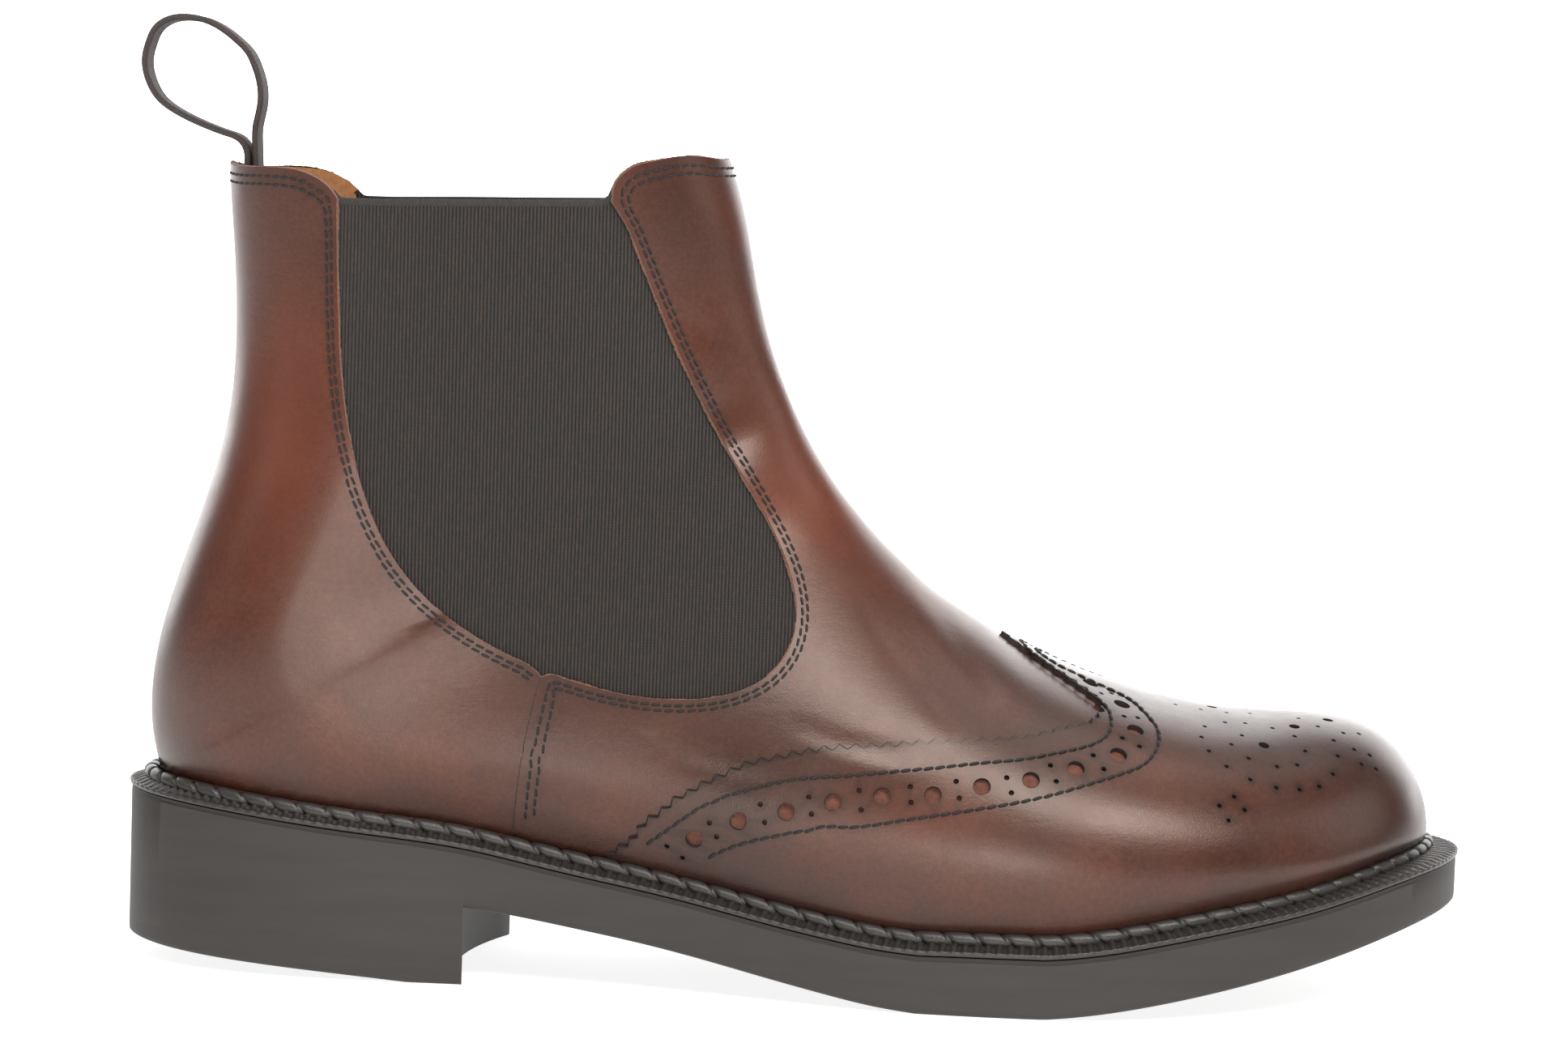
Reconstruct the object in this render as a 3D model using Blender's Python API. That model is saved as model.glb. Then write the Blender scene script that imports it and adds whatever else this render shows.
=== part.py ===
"""Brogued ankle boot with elastic gores, a right shoe: toe along +X, outer side at -Y, +Z up.

The shapes are worked out with the heel back at X = 0 and the floor at Z = 0. At the end the
objects move so that the origin lies on the floor under the middle of the boot. Lengths are in
metres, table values are shares of the named sizes below.
"""
import bmesh
import bpy
import numpy as np

MM = 0.001

# Driving dimensions
SOLE_LENGTH = 0.304
SOLE_WIDTH = 0.1055
SOLE_THICKNESS = 0.0122
HEEL_HEIGHT = 0.0172
HEEL_LIFT = 0.0050
TOE_SPRING = 0.0212
INSTEP_RISE = 0.0990
SHAFT_HEIGHT = 0.1850
WALL = 0.0020
GAP = 0.0003
WELT_HEIGHT = 0.0047
WELT_OVERHANG = 0.0004
CAP_THICKNESS = 0.0011
GORE_THICKNESS = 0.0013
INSOLE_THICKNESS = 0.0030
LOOP_RISE = 0.0330
LOOP_WIDTH = 0.0110
LOOP_THICKNESS = 0.0014
HEEL_BREAST = 0.0818

# Plan of the sole from heel back to toe tip: x share of SOLE_LENGTH, y share of SOLE_WIDTH
OUTER_PLAN = [
    # x, y
    (0.000, 0.000), (0.015, -0.142), (0.052, -0.242), (0.124, -0.306), (0.243, -0.325),
    (0.361, -0.360), (0.476, -0.422), (0.575, -0.477), (0.657, -0.502), (0.730, -0.499),
    (0.805, -0.461), (0.871, -0.392), (0.927, -0.294), (0.968, -0.175), (0.993, -0.033),
    (1.000, 0.076),
]
INNER_PLAN = [
    # x, y
    (0.000, 0.000), (0.015, 0.142), (0.052, 0.242), (0.124, 0.301), (0.243, 0.313),
    (0.335, 0.301), (0.417, 0.301), (0.499, 0.334), (0.582, 0.396), (0.664, 0.460),
    (0.730, 0.488), (0.799, 0.486), (0.868, 0.451), (0.927, 0.384), (0.970, 0.289),
    (0.993, 0.190), (1.000, 0.076),
]
# Width of the welt outside the leather, along the same way round, in mm
WELT_STAND = [
    # way, width
    (-0.1, 5.5), (0.0, 6.2), (0.1, 5.5), (0.35, 6.5), (0.7, 7.3), (0.9, 8.2), (1.0, 8.8),
    (1.1, 8.2),
]

# Underside of the unit, heel block left out, by x share: height above the floor as shares
# of the heel height and of the toe spring
UNDERSIDE = [
    # x, share of HEEL_HEIGHT, share of TOE_SPRING
    (0.000, 1.02, 0.0), (0.180, 1.01, 0.0), (0.262, 1.00, 0.0), (0.300, 0.915, 0.0),
    (0.345, 0.790, 0.0), (0.390, 0.660, 0.0), (0.435, 0.505, 0.0), (0.480, 0.330, 0.0),
    (0.525, 0.165, 0.0), (0.560, 0.055, 0.0), (0.590, 0.0, 0.0), (0.680, 0.0, 0.0),
    (0.715, 0.0, 0.055), (0.760, 0.0, 0.165), (0.810, 0.0, 0.315), (0.862, 0.0, 0.495),
    (0.917, 0.0, 0.710), (0.970, 0.0, 0.915), (1.000, 0.0, 1.0),
]
# Thickness of the unit between underside and the ledge under the welt, heel block left out
THICKNESS = [
    # x, share of SOLE_THICKNESS
    (0.000, 1.72), (0.060, 1.62), (0.120, 1.46), (0.180, 1.28), (0.240, 1.11), (0.300, 1.00),
    (0.400, 0.96), (0.500, 0.99), (0.570, 1.04), (0.640, 1.07), (0.720, 1.07), (0.800, 1.06),
    (0.880, 0.97), (0.940, 0.92), (1.000, 0.80),
]

# Ridge of the upper from toe tip to collar front: x share of SOLE_LENGTH, rise (0 the ledge
# below, 1 the instep, 2 the collar) and y share of SOLE_WIDTH
RIDGE = [
    # x, rise, y
    (0.9656, 0.044, 0.076), (0.9656, 0.081, 0.076), (0.9630, 0.129, 0.075),
    (0.9523, 0.204, 0.074), (0.9287, 0.292, 0.071), (0.8992, 0.346, 0.067),
    (0.8532, 0.386, 0.059), (0.7937, 0.436, 0.049), (0.7302, 0.518, 0.038),
    (0.6696, 0.611, 0.028), (0.6180, 0.700, 0.020), (0.5705, 0.807, 0.014),
    (0.5291, 0.920, 0.008), (0.4954, 1.067, 0.004), (0.4700, 1.282, 0.002),
    (0.4527, 1.527, 0.001), (0.4406, 1.792, 0.0), (0.4238, 2.052, 0.0),
]
# Back seam from the foot to the collar: x share, rise (0 the foot line, 1 the full height)
BACK = [
    # x, rise
    (0.0228, 0.000), (0.0171, 0.052), (0.0155, 0.123), (0.0207, 0.207), (0.0332, 0.305),
    (0.0485, 0.403), (0.0622, 0.502), (0.0704, 0.600), (0.0725, 0.698), (0.0703, 0.810),
    (0.0664, 0.909), (0.0630, 1.010),
]
# Sections of the upper, toe tip to collar. ridge and foot are shares of the way along the
# ridge and along the foot line (1 to 2 is the back seam); outer and inner are the widest
# points as shares of SOLE_WIDTH, at is their place down the section, top, side and foot
# are the fullnesses of the curve.
SECTIONS = [
    # u, ridge, foot, outer, inner, at, top, side, low
    (0.000, 0.000, 0.000, 0.070, 0.082, 0.70, 0.56, 0.55, 0.50),
    (0.020, 0.025, 0.020, 0.012, 0.138, 0.74, 0.58, 0.52, 0.50),
    (0.056, 0.070, 0.055, -0.094, 0.229, 0.80, 0.62, 0.50, 0.45),
    (0.113, 0.140, 0.110, -0.218, 0.329, 0.82, 0.66, 0.46, 0.42),
    (0.188, 0.235, 0.180, -0.343, 0.406, 0.80, 0.68, 0.44, 0.42),
    (0.274, 0.335, 0.265, -0.430, 0.442, 0.78, 0.66, 0.44, 0.42),
    (0.363, 0.430, 0.360, -0.462, 0.436, 0.76, 0.60, 0.44, 0.42),
    (0.452, 0.515, 0.470, -0.430, 0.388, 0.75, 0.55, 0.46, 0.44),
    (0.528, 0.580, 0.590, -0.378, 0.335, 0.76, 0.53, 0.50, 0.47),
    (0.586, 0.632, 0.710, -0.335, 0.303, 0.77, 0.52, 0.53, 0.50),
    (0.633, 0.680, 0.840, -0.306, 0.291, 0.78, 0.52, 0.56, 0.52),
    (0.672, 0.731, 0.930, -0.296, 0.286, 0.765, 0.52, 0.58, 0.52),
    (0.689, 0.749, 1.000, -0.293, 0.284, 0.755, 0.52, 0.50, 0.52),
    (0.750, 0.800, 1.200, -0.287, 0.281, 0.735, 0.52, 0.54, 0.54),
    (0.840, 0.866, 1.490, -0.283, 0.281, 0.68, 0.53, 0.56, 0.57),
    (0.922, 0.934, 1.750, -0.289, 0.289, 0.60, 0.54, 0.55, 0.56),
    (1.000, 1.000, 2.000, -0.298, 0.298, 0.53, 0.55, 0.55, 0.56),
]
# Collar line, by share of the way round from ridge to back seam: drop below the full height
COLLAR = [
    # way, drop share of SHAFT_HEIGHT
    (0.000, 0.003), (0.075, 0.003), (0.178, 0.001), (0.247, 0.010), (0.267, 0.014),
    (0.286, 0.024), (0.298, 0.037), (0.307, 0.057), (0.400, 0.060), (0.600, 0.065),
    (0.654, 0.065), (0.666, 0.055), (0.685, 0.044), (0.714, 0.035), (0.755, 0.031),
    (0.887, 0.030), (1.000, 0.021),
]
# Outline of the elastic gore seen from the side: x share, share of SHAFT_HEIGHT
GORE = [
    # x, height
    (0.1450, 1.200), (0.1490, 0.990), (0.1507, 0.920), (0.1532, 0.786), (0.1572, 0.690),
    (0.1710, 0.604), (0.1876, 0.518), (0.2152, 0.457), (0.2513, 0.420), (0.2813, 0.398),
    (0.3293, 0.364), (0.3649, 0.352), (0.4063, 0.345), (0.4416, 0.348), (0.4766, 0.360),
    (0.4968, 0.377), (0.5068, 0.405), (0.5092, 0.437), (0.5037, 0.474), (0.4941, 0.511),
    (0.4783, 0.552), (0.4596, 0.595), (0.4283, 0.672), (0.4094, 0.730), (0.3968, 0.779),
    (0.3840, 0.837), (0.3686, 0.885), (0.3562, 0.928), (0.3460, 0.985), (0.3400, 1.200),
]
# Edge of the wing cap: how far u runs from the toe tip, by the way from ridge to foot line
WING = [
    # way, u
    (0.0000, 0.3975), (0.0148, 0.3925), (0.0252, 0.3840), (0.0450, 0.3640), (0.0692, 0.3430),
    (0.0904, 0.3270), (0.1107, 0.3150), (0.1327, 0.3080), (0.1634, 0.3084), (0.1906, 0.3157),
    (0.2099, 0.3235), (0.2282, 0.3374), (0.2561, 0.3572), (0.2895, 0.3839), (0.3130, 0.4076),
    (0.3342, 0.4306), (0.3531, 0.4512), (0.3730, 0.4695), (0.3905, 0.4862), (0.4078, 0.5017),
    (0.4259, 0.5150), (0.4469, 0.5262), (0.4648, 0.5358), (0.4847, 0.5420), (0.5102, 0.5481),
    (0.5868, 0.5530), (0.6976, 0.5554), (0.8657, 0.5549), (1.0000, 0.5571),
]
# Section of the welt: out from the leather, up from the ledge, in mm; 99 is the outer edge
WELT_SECTION = [
    # out, up
    (0.50, 0.30), (99.0, 0.30), (99.0, 1.50), (3.40, 2.10), (2.90, 2.60), (3.25, 3.70),
    (2.60, 4.60), (1.50, 4.80), (0.80, 4.30), (0.50, 3.20),
]
# Middle line of the pull loop: x and z as shares of LOOP_RISE, from the inside of the collar
LOOP = [
    # x, z
    (0.055, -0.300), (0.044, -0.080), (0.040, 0.050), (-0.010, 0.125), (-0.110, 0.165),
    (-0.215, 0.200), (-0.455, 0.306), (-0.567, 0.388), (-0.630, 0.485), (-0.667, 0.661),
    (-0.642, 0.770), (-0.600, 0.861), (-0.510, 0.925), (-0.358, 0.942), (-0.252, 0.921),
    (-0.145, 0.870), (-0.039, 0.791), (0.036, 0.715), (0.082, 0.624), (0.112, 0.536),
    (0.126, 0.376), (0.112, 0.291), (0.097, 0.209), (0.096, 0.124), (0.100, 0.045),
    (0.116, -0.300),
]
# Columns of the upper on each side, by way from the ridge, closer at the corners of the collar
COLUMNS = [
    0.0, 0.06, 0.12, 0.178, 0.247, 0.286, 0.307, 0.40, 0.46, 0.52, 0.59, 0.654, 0.685,
    0.755, 0.82, 0.887, 0.94, 1.0,
]
# Columns of the wing cap
WING_COLUMNS = [
    0.0, 0.025, 0.045, 0.069, 0.09, 0.111, 0.133, 0.163, 0.191, 0.228, 0.256, 0.29, 0.334,
    0.391, 0.447, 0.51, 0.64, 0.80, 1.0,
]


def spline(table, at):
    """Natural cubic curve through rows whose first column is the key."""
    rows = np.array(table, dtype=float)
    keys = rows[:, 0]
    vals = rows[:, 1:]
    count = len(keys)
    step = np.diff(keys)
    lhs = np.zeros((count, count))
    rhs = np.zeros((count, vals.shape[1]))
    lhs[0, 0] = 1.0
    lhs[-1, -1] = 1.0
    for i in range(1, count - 1):
        lhs[i, i - 1] = step[i - 1]
        lhs[i, i] = 2.0 * (step[i - 1] + step[i])
        lhs[i, i + 1] = step[i]
        rise = (vals[i + 1] - vals[i]) / step[i]
        rhs[i] = 6.0 * (rise - (vals[i] - vals[i - 1]) / step[i - 1])
    bend = np.linalg.solve(lhs, rhs)
    where = np.asarray(at, dtype=float)
    flat = where.ravel()
    i = np.clip(np.searchsorted(keys, flat, side="right") - 1, 0, count - 2)
    span = step[i][:, None]
    part = (flat - keys[i])[:, None]
    slope = (vals[i + 1] - vals[i]) / span - span * (2.0 * bend[i] + bend[i + 1]) / 6.0
    out = vals[i] + slope * part + bend[i] * part ** 2 / 2.0
    out = out + (bend[i + 1] - bend[i]) * part ** 3 / (6.0 * span)
    return out.reshape(where.shape + (vals.shape[1],))


def by_way(points):
    """Put the share of the way along in front of each row of points."""
    rows = np.array(points, dtype=float)
    way = np.concatenate([[0.0], np.cumsum(np.linalg.norm(np.diff(rows, axis=0), axis=1))])
    return np.column_stack([way / way[-1], rows])


def round_plan(own, other):
    """One side of the sole outline by way; a point of the other side at both ends keeps
    the heel back and the toe tip round."""
    size = np.array([SOLE_LENGTH, SOLE_WIDTH])
    points = np.array([other[1]] + own + [other[-2]]) * size
    rows = by_way(points)
    start = rows[1, 0]
    rows[:, 0] = (rows[:, 0] - start) / (rows[-2, 0] - start)
    return rows


PLANS = {-1: round_plan(OUTER_PLAN, INNER_PLAN), 1: round_plan(INNER_PLAN, OUTER_PLAN)}


def plan_edge(side, way, inset):
    """Points of the sole outline on one side, moved in by a distance."""
    way = np.asarray(way, dtype=float)
    point = spline(PLANS[side], way)
    step = 1e-4
    run = spline(PLANS[side], way + step) - spline(PLANS[side], way - step)
    run = run / np.linalg.norm(run, axis=-1)[..., None]
    out = np.stack([-run[..., 1] * side, run[..., 0] * side], axis=-1)
    return point - out * np.asarray(inset)[..., None], out


def stand(way):
    return spline(WELT_STAND, way)[..., 0] * MM


def underside(x):
    """Height of the underside above the floor, the heel block left out."""
    share = spline(UNDERSIDE, np.clip(x / SOLE_LENGTH, 0, 1))
    low = share[..., 0] * HEEL_HEIGHT + share[..., 1] * TOE_SPRING
    flat = (x > 0.588 * SOLE_LENGTH) & (x < 0.682 * SOLE_LENGTH)
    return np.where(flat, 0.0, np.maximum(low, 0.0))


def sole_rows():
    """Places of the rows across the sole, closer at the heel back and at the toe."""
    return (1.0 - np.cos(np.linspace(0.0, np.pi, 45))) / 2.0 * SOLE_LENGTH


def ledge(x):
    """Height of the top of the sole unit, on which the welt lies, straight between rows."""
    rows = sole_rows()
    thick = spline(THICKNESS, rows / SOLE_LENGTH)[..., 0] * SOLE_THICKNESS
    return np.interp(x, rows, underside(rows) + thick)


def heel_floor(x):
    """Underside of the heel block, level near the breast and lifted at the back."""
    start = 0.84 * HEEL_BREAST
    return np.maximum(start - x, 0.0) / start * HEEL_LIFT


def ridge_table():
    rows = np.array(RIDGE)
    x = rows[:, 0] * SOLE_LENGTH
    tip, _ = plan_edge(-1, np.array([1.0]), stand(np.array([1.0])))
    x = x + (tip[0, 0] - x[0])
    low = ledge(x) + np.minimum(rows[:, 1], 1.0) * INSTEP_RISE
    over = np.maximum(rows[:, 1] - 1.0, 0.0)
    z = low * (1.0 - over) + SHAFT_HEIGHT * over
    z[0] = ledge(x[:1])[0] + WELT_HEIGHT * 0.93
    return by_way(np.column_stack([x, rows[:, 2] * SOLE_WIDTH, z]))


def back_table():
    rows = np.array(BACK)
    x = rows[:, 0] * SOLE_LENGTH
    heel, _ = plan_edge(-1, np.array([0.0]), stand(np.array([0.0])))
    x = x + (heel[0, 0] - x[0])
    foot = ledge(x[:1])[0] + WELT_HEIGHT * 0.93
    z = foot + rows[:, 1] * (SHAFT_HEIGHT - foot)
    return by_way(np.column_stack([x, np.zeros(len(x)), z]))


RIDGE_WAY = ridge_table()
BACK_WAY = back_table()


def foot_line(side, foot):
    """Points of the foot line (0 toe tip, 1 heel back, 2 collar back), and end tangents."""
    foot = np.asarray(foot, dtype=float)
    way = np.clip(1.0 - foot, 0.0, 1.0)
    flat, out = plan_edge(side, way, stand(way))
    high = ledge(flat[..., 0]) + WELT_HEIGHT * 0.93
    low = np.stack([flat[..., 0], flat[..., 1], high], axis=-1)
    up = spline(BACK_WAY, np.clip(foot - 1.0, 0.0, 1.0))
    point = np.where((foot > 1.0)[..., None], up, low)
    lean = 0.25 * np.sin(np.pi * np.clip(foot, 0.0, 0.5)) ** 0.5
    wall = np.stack([out[..., 0] * lean, out[..., 1] * lean, np.ones_like(foot)], axis=-1)
    along = np.stack([-out[..., 1], out[..., 0], np.zeros_like(foot)], axis=-1)
    return point, np.cross(along, wall)


def curve(p0, p1, p2, p3, t):
    t = np.asarray(t)[..., None]
    low = p0 * (1 - t) ** 3 + 3 * p1 * t * (1 - t) ** 2
    return low + 3 * p2 * t ** 2 * (1 - t) + p3 * t ** 3


def section_ends(u, side):
    """Ridge point, foot point, foot share and foot wall normal of the sections at u."""
    row = spline(SECTIONS, u)
    top = spline(RIDGE_WAY, np.clip(row[..., 0], 0.0, 1.0))
    foot = np.clip(row[..., 1], 0.0, 2.0)
    end, normal = foot_line(side, foot)
    span = end - top
    span[..., 1] = 0.0
    return row, top, end, foot, normal, span


def middle_table(side):
    """Way from the ridge to the widest point, for each row of SECTIONS."""
    keys = np.array(SECTIONS)[:, 0]
    row, _, _, _, _, span = section_ends(keys, side)
    return np.column_stack([keys, row[:, 4] * np.linalg.norm(span, axis=1)])


MIDDLE = {-1: middle_table(-1), 1: middle_table(1)}


def skin(u, v):
    """Outside of the upper: u from toe tip to collar, v from -1 outer foot line over the
    ridge (0) to 1 inner foot line."""
    u = np.asarray(u, dtype=float)
    v = np.asarray(v, dtype=float)
    result = np.zeros(u.shape + (3,))
    for side in (-1, 1):
        row, top, end, foot, normal, span = section_ends(u, side)
        length = np.maximum(np.linalg.norm(span, axis=-1), 1e-9)
        down = span / length[..., None]
        deep = np.clip(spline(MIDDLE[side], u)[..., 0], 0.3 * length, 0.96 * length)
        plane = np.cross(down, np.array([0.0, 1.0, 0.0]))
        tail = np.cross(normal, plane)
        tail = tail / np.maximum(np.linalg.norm(tail, axis=-1), 1e-9)[..., None]
        turn = np.clip((foot - 0.6) / 0.4, 0.0, 1.0)[..., None]
        seam = np.array([0.0, -1.0 * side, 0.0])
        aim = down * (1.0 - turn) + seam * turn
        tail = tail * np.where(np.sum(tail * aim, axis=-1) < 0, -1.0, 1.0)[..., None]
        tail = np.where((foot > 0.9999)[..., None], seam, tail)
        wide = (row[..., 2] if side < 0 else row[..., 3]) * SOLE_WIDTH
        mid = top + down * deep[..., None]
        mid[..., 1] = wide
        across = np.zeros_like(top)
        across[..., 1] = (wide - top[..., 1]) * row[..., 5]
        drop = down * (deep * row[..., 6])[..., None]
        low = down * ((length - deep) * row[..., 6])[..., None]
        fall = np.maximum(np.abs(np.sum(tail * down, axis=-1)), 1e-6)
        turn_in = np.maximum(np.abs(tail[..., 1]), 1e-6)
        reach = (length - deep) / fall
        close = np.maximum(np.abs(wide - end[..., 1]), 0.001) / turn_in
        pull = (reach ** -4.0 + close ** -4.0) ** -0.25 * row[..., 7]
        way = np.abs(v)
        head = curve(top, top + across, mid - drop, mid, np.clip(way * 2.0, 0, 1))
        rest = curve(mid, mid + low, end - tail * pull[..., None], end,
                     np.clip(way * 2.0 - 1.0, 0, 1))
        here = np.where((way < 0.5)[..., None], head, rest)
        pick = (v < 0) if side < 0 else (v >= 0)
        result = np.where(pick[..., None], here, result)
    return result


def skin_out(u, v, out):
    """The skin moved out along its normal by a distance; the sections at the very tip of
    the toe are too small to tell their own normal."""
    h = 1e-4
    u = np.asarray(u, dtype=float)
    v = np.asarray(v, dtype=float)
    near = np.maximum(u, 0.014)
    du = skin(np.minimum(near + h, 1.0), v) - skin(near - h, v)
    dv = skin(near, np.minimum(v + h, 1.0)) - skin(near, np.maximum(v - h, -1.0))
    normal = np.cross(dv, du)
    size = np.linalg.norm(normal, axis=-1)
    normal = normal / np.maximum(size, 1e-15)[..., None]
    return skin(u, v) + normal * np.asarray(out)[..., None]


def collar_u(v):
    """u of the collar line; the drop is worked out from the height of the skin."""
    rows = np.array(COLLAR)
    drop = np.interp(np.abs(v), rows[:, 0], rows[:, 1]) * SHAFT_HEIGHT
    level = SHAFT_HEIGHT - drop
    low = np.full(v.shape, 0.75)
    high = np.ones(v.shape)
    for _ in range(40):
        mid = (low + high) / 2
        above = skin(mid, v)[..., 2] > level
        high = np.where(above, mid, high)
        low = np.where(above, low, mid)
    return (low + high) / 2


def clear_file():
    for ob in list(bpy.data.objects):
        bpy.data.objects.remove(ob, do_unlink=True)
    for block in (bpy.data.meshes, bpy.data.curves, bpy.data.materials, bpy.data.collections):
        for item in list(block):
            block.remove(item)


def collection(name, hidden=False):
    group = bpy.data.collections.new(name)
    bpy.context.scene.collection.children.link(group)
    group.hide_render = hidden
    return group


def material(name, colour, rough):
    mat = bpy.data.materials.new(name)
    mat.use_nodes = True
    node = mat.node_tree.nodes["Principled BSDF"]
    node.inputs["Base Color"].default_value = (*colour, 1.0)
    node.inputs["Roughness"].default_value = rough
    mat.diffuse_color = (*colour, 1.0)
    return mat


def mesh_object(name, verts, faces, group, mat=None):
    mesh = bpy.data.meshes.new(name)
    mesh.from_pydata([tuple(p) for p in verts], [], faces)
    bm = bmesh.new()
    bm.from_mesh(mesh)
    bmesh.ops.remove_doubles(bm, verts=bm.verts, dist=2e-6)
    bmesh.ops.dissolve_degenerate(bm, edges=bm.edges, dist=1e-6)
    bmesh.ops.recalc_face_normals(bm, faces=bm.faces)
    bm.to_mesh(mesh)
    bm.free()
    ob = bpy.data.objects.new(name, mesh)
    group.objects.link(ob)
    if mat:
        mesh.materials.append(mat)
    return ob


def grid_faces(rows, cols, start=0, wrap=False, seam=None):
    """Quads of a grid of points kept row by row; wrap joins the last column to the first,
    rows from seam on leave out the first and last columns."""
    faces = []
    last = cols if wrap else cols - 1
    for i in range(rows - 1):
        for j in range(last):
            if seam is not None and i >= seam and j in (0, last - 1):
                continue
            k = (j + 1) % cols
            a = start + i * cols
            b = a + cols
            faces.append((a + j, a + k, b + k, b + j))
    return faces


def shell(name, outer, inner, group, mat, seam=None):
    """Closed wall between two grids of the same shape; from row seam on, the first and the
    last column are one line and need no wall between them."""
    rows, cols = outer.shape[:2]
    count = rows * cols
    verts = np.concatenate([outer.reshape(-1, 3), inner.reshape(-1, 3)])
    faces = grid_faces(rows, cols, 0, False, seam)
    faces += [tuple(reversed(f)) for f in grid_faces(rows, cols, count, False, seam)]
    stop = rows - 1 if seam is None else seam
    rim = [(j, j + 1) for j in range(cols - 1)]
    rim += [(i * cols + cols - 1, (i + 1) * cols + cols - 1) for i in range(stop)]
    rim += [((rows - 1) * cols + j + 1, (rows - 1) * cols + j) for j in range(cols - 1)]
    rim += [((i + 1) * cols, i * cols) for i in range(stop)]
    for a, b in rim:
        faces.append((b, a, a + count, b + count))
    return mesh_object(name, verts, faces, group, mat)


def upper_grid(us, vs, out, skirt):
    """Grid of the upper with a last upright row on both foot lines down to a height."""
    v_full = np.concatenate([[-1.0], vs, [1.0]])
    uu = us.copy()
    grid = np.zeros((uu.shape[0], len(v_full), 3))
    body = skin_out(uu, np.broadcast_to(vs, uu.shape), out)
    grid[:, 1:-1] = body
    grid[:, 0] = body[:, 0]
    grid[:, -1] = body[:, -1]
    foot = spline(SECTIONS, uu[:, 0])[..., 1]
    open_rows = foot < 1.0001
    seam_rows = foot > 0.9999
    grid[seam_rows, 0, 1] = 0.0
    grid[seam_rows, 1, 1] = 0.0
    for col in (-1, -2):
        grid[seam_rows, col] = grid[seam_rows, 1]
    grid[seam_rows, 0] = grid[seam_rows, 1]
    for col in (0, -1):
        low = ledge(grid[:, col, 0]) + skirt
        grid[open_rows, col, 2] = low[open_rows]
    return grid


def prism(name, outline, low, high, group):
    """Cutter: an outline in X and Z, pulled along Y."""
    count = len(outline)
    verts = [(x, low, z) for x, z in outline] + [(x, high, z) for x, z in outline]
    faces = [tuple(range(count)), tuple(range(2 * count - 1, count - 1, -1))]
    for i in range(count):
        k = (i + 1) % count
        faces.append((k, i, i + count, k + count))
    ob = mesh_object(name, verts, faces, group)
    ob.display_type = "WIRE"
    ob.hide_render = True
    return ob


def boolean(target, cutter, kind):
    mod = target.modifiers.new(kind.lower(), "BOOLEAN")
    mod.operation = kind
    mod.solver = "EXACT"
    mod.object = cutter
    return mod


def gore_outline(shrink):
    """Outline of the gore window; shrink moves it in."""
    size = np.array([SOLE_LENGTH, SHAFT_HEIGHT])
    way = by_way(np.array(GORE) * size)
    line = spline(way, np.linspace(0.0, 1.0, 46))
    run = np.gradient(line, axis=0)
    run = run / np.linalg.norm(run, axis=1)[:, None]
    left = np.stack([-run[:, 1], run[:, 0]], axis=1)
    return line + left * shrink


def build_outsole(group, mat):
    """One body: rows across the sole, each a closed loop over the top and underneath."""
    xs = sole_rows()
    breast = HEEL_BREAST
    back = xs[xs < breast - 0.002]
    front = xs[xs > breast + 0.002]
    ways = np.linspace(0.0, 1.0, 4001)
    edge = {}
    for side in (-1, 1):
        line = spline(PLANS[side], ways)
        edge[side] = np.maximum.accumulate(line[:, 0]), line[:, 1]
    across = np.linspace(-1.0, 1.0, 7)
    bevel = 0.0010

    def row(x, heel):
        pull = np.exp(-((x - breast) / 0.022) ** 2)
        skew = 0.0032 * pull
        ends = [x - skew, x + skew]
        y0 = np.interp(ends[0], *edge[-1])
        y1 = np.interp(ends[1], *edge[1])
        if x <= 0.0 or x >= SOLE_LENGTH:
            y0 = y1 = edge[1][1][0 if x <= 0.0 else -1]
        line = []
        for t in across:
            hollow = 0.0060 * pull * (1.0 - t * t)
            line.append((x + skew * t - hollow, y0 + (y1 - y0) * (t + 1) / 2))
        line = np.array(line)
        top = np.column_stack([line, ledge(line[:, 0])])
        low_z = heel_floor(np.full(len(line), x)) if heel else underside(line[:, 0])
        inner = line.copy()
        width = max(y1 - y0, 1e-9)
        cut = min(bevel, width * 0.2)
        inner[:, 1] = line[:, 1] * (1.0 - 2 * cut / width)
        inner[:, 1] += (y0 + y1) / 2 * (2 * cut / width)
        low = np.column_stack([inner, low_z])
        side0 = np.array([[line[0, 0], line[0, 1], low_z[0] + cut]])
        side1 = np.array([[line[-1, 0], line[-1, 1], low_z[-1] + cut]])
        return np.concatenate([top, side1, low[::-1], side0])

    rows = [row(x, True) for x in back]
    rows.append(row(breast, True))
    rows.append(row(breast, False))
    rows += [row(x, False) for x in front]
    grid = np.array(rows)
    cols = grid.shape[1]
    faces = grid_faces(len(rows), cols, wrap=True)
    return mesh_object("outsole", grid.reshape(-1, 3), faces, group, mat)


def ring(count=36):
    """Way round the sole outline: list of side and way, heel back first."""
    ways = (1.0 - np.cos(np.linspace(0.0, np.pi, count))) / 2.0
    ways = 0.6 * ways + 0.4 * np.linspace(0.0, 1.0, count)
    return [(-1, w) for w in ways] + [(1, w) for w in ways[-2:0:-1]]


def build_welt(group, mat):
    loops = []
    for side, way in ring():
        w = np.array([way])
        width = stand(w)
        line = []
        for out, up in WELT_SECTION:
            reach = width[0] + WELT_OVERHANG if out > 90 else out * MM
            point, _ = plan_edge(side, w, width - reach)
            z = ledge(point[:, 0])[0] + up * MM * WELT_HEIGHT / 0.0047
            line.append((point[0, 0], point[0, 1], z))
        loops.append(line)
    loops.append(loops[0])
    grid = np.array(loops)
    faces = grid_faces(len(loops), grid.shape[1], wrap=True)
    return mesh_object("welt", grid.reshape(-1, 3), faces, group, mat)


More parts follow.
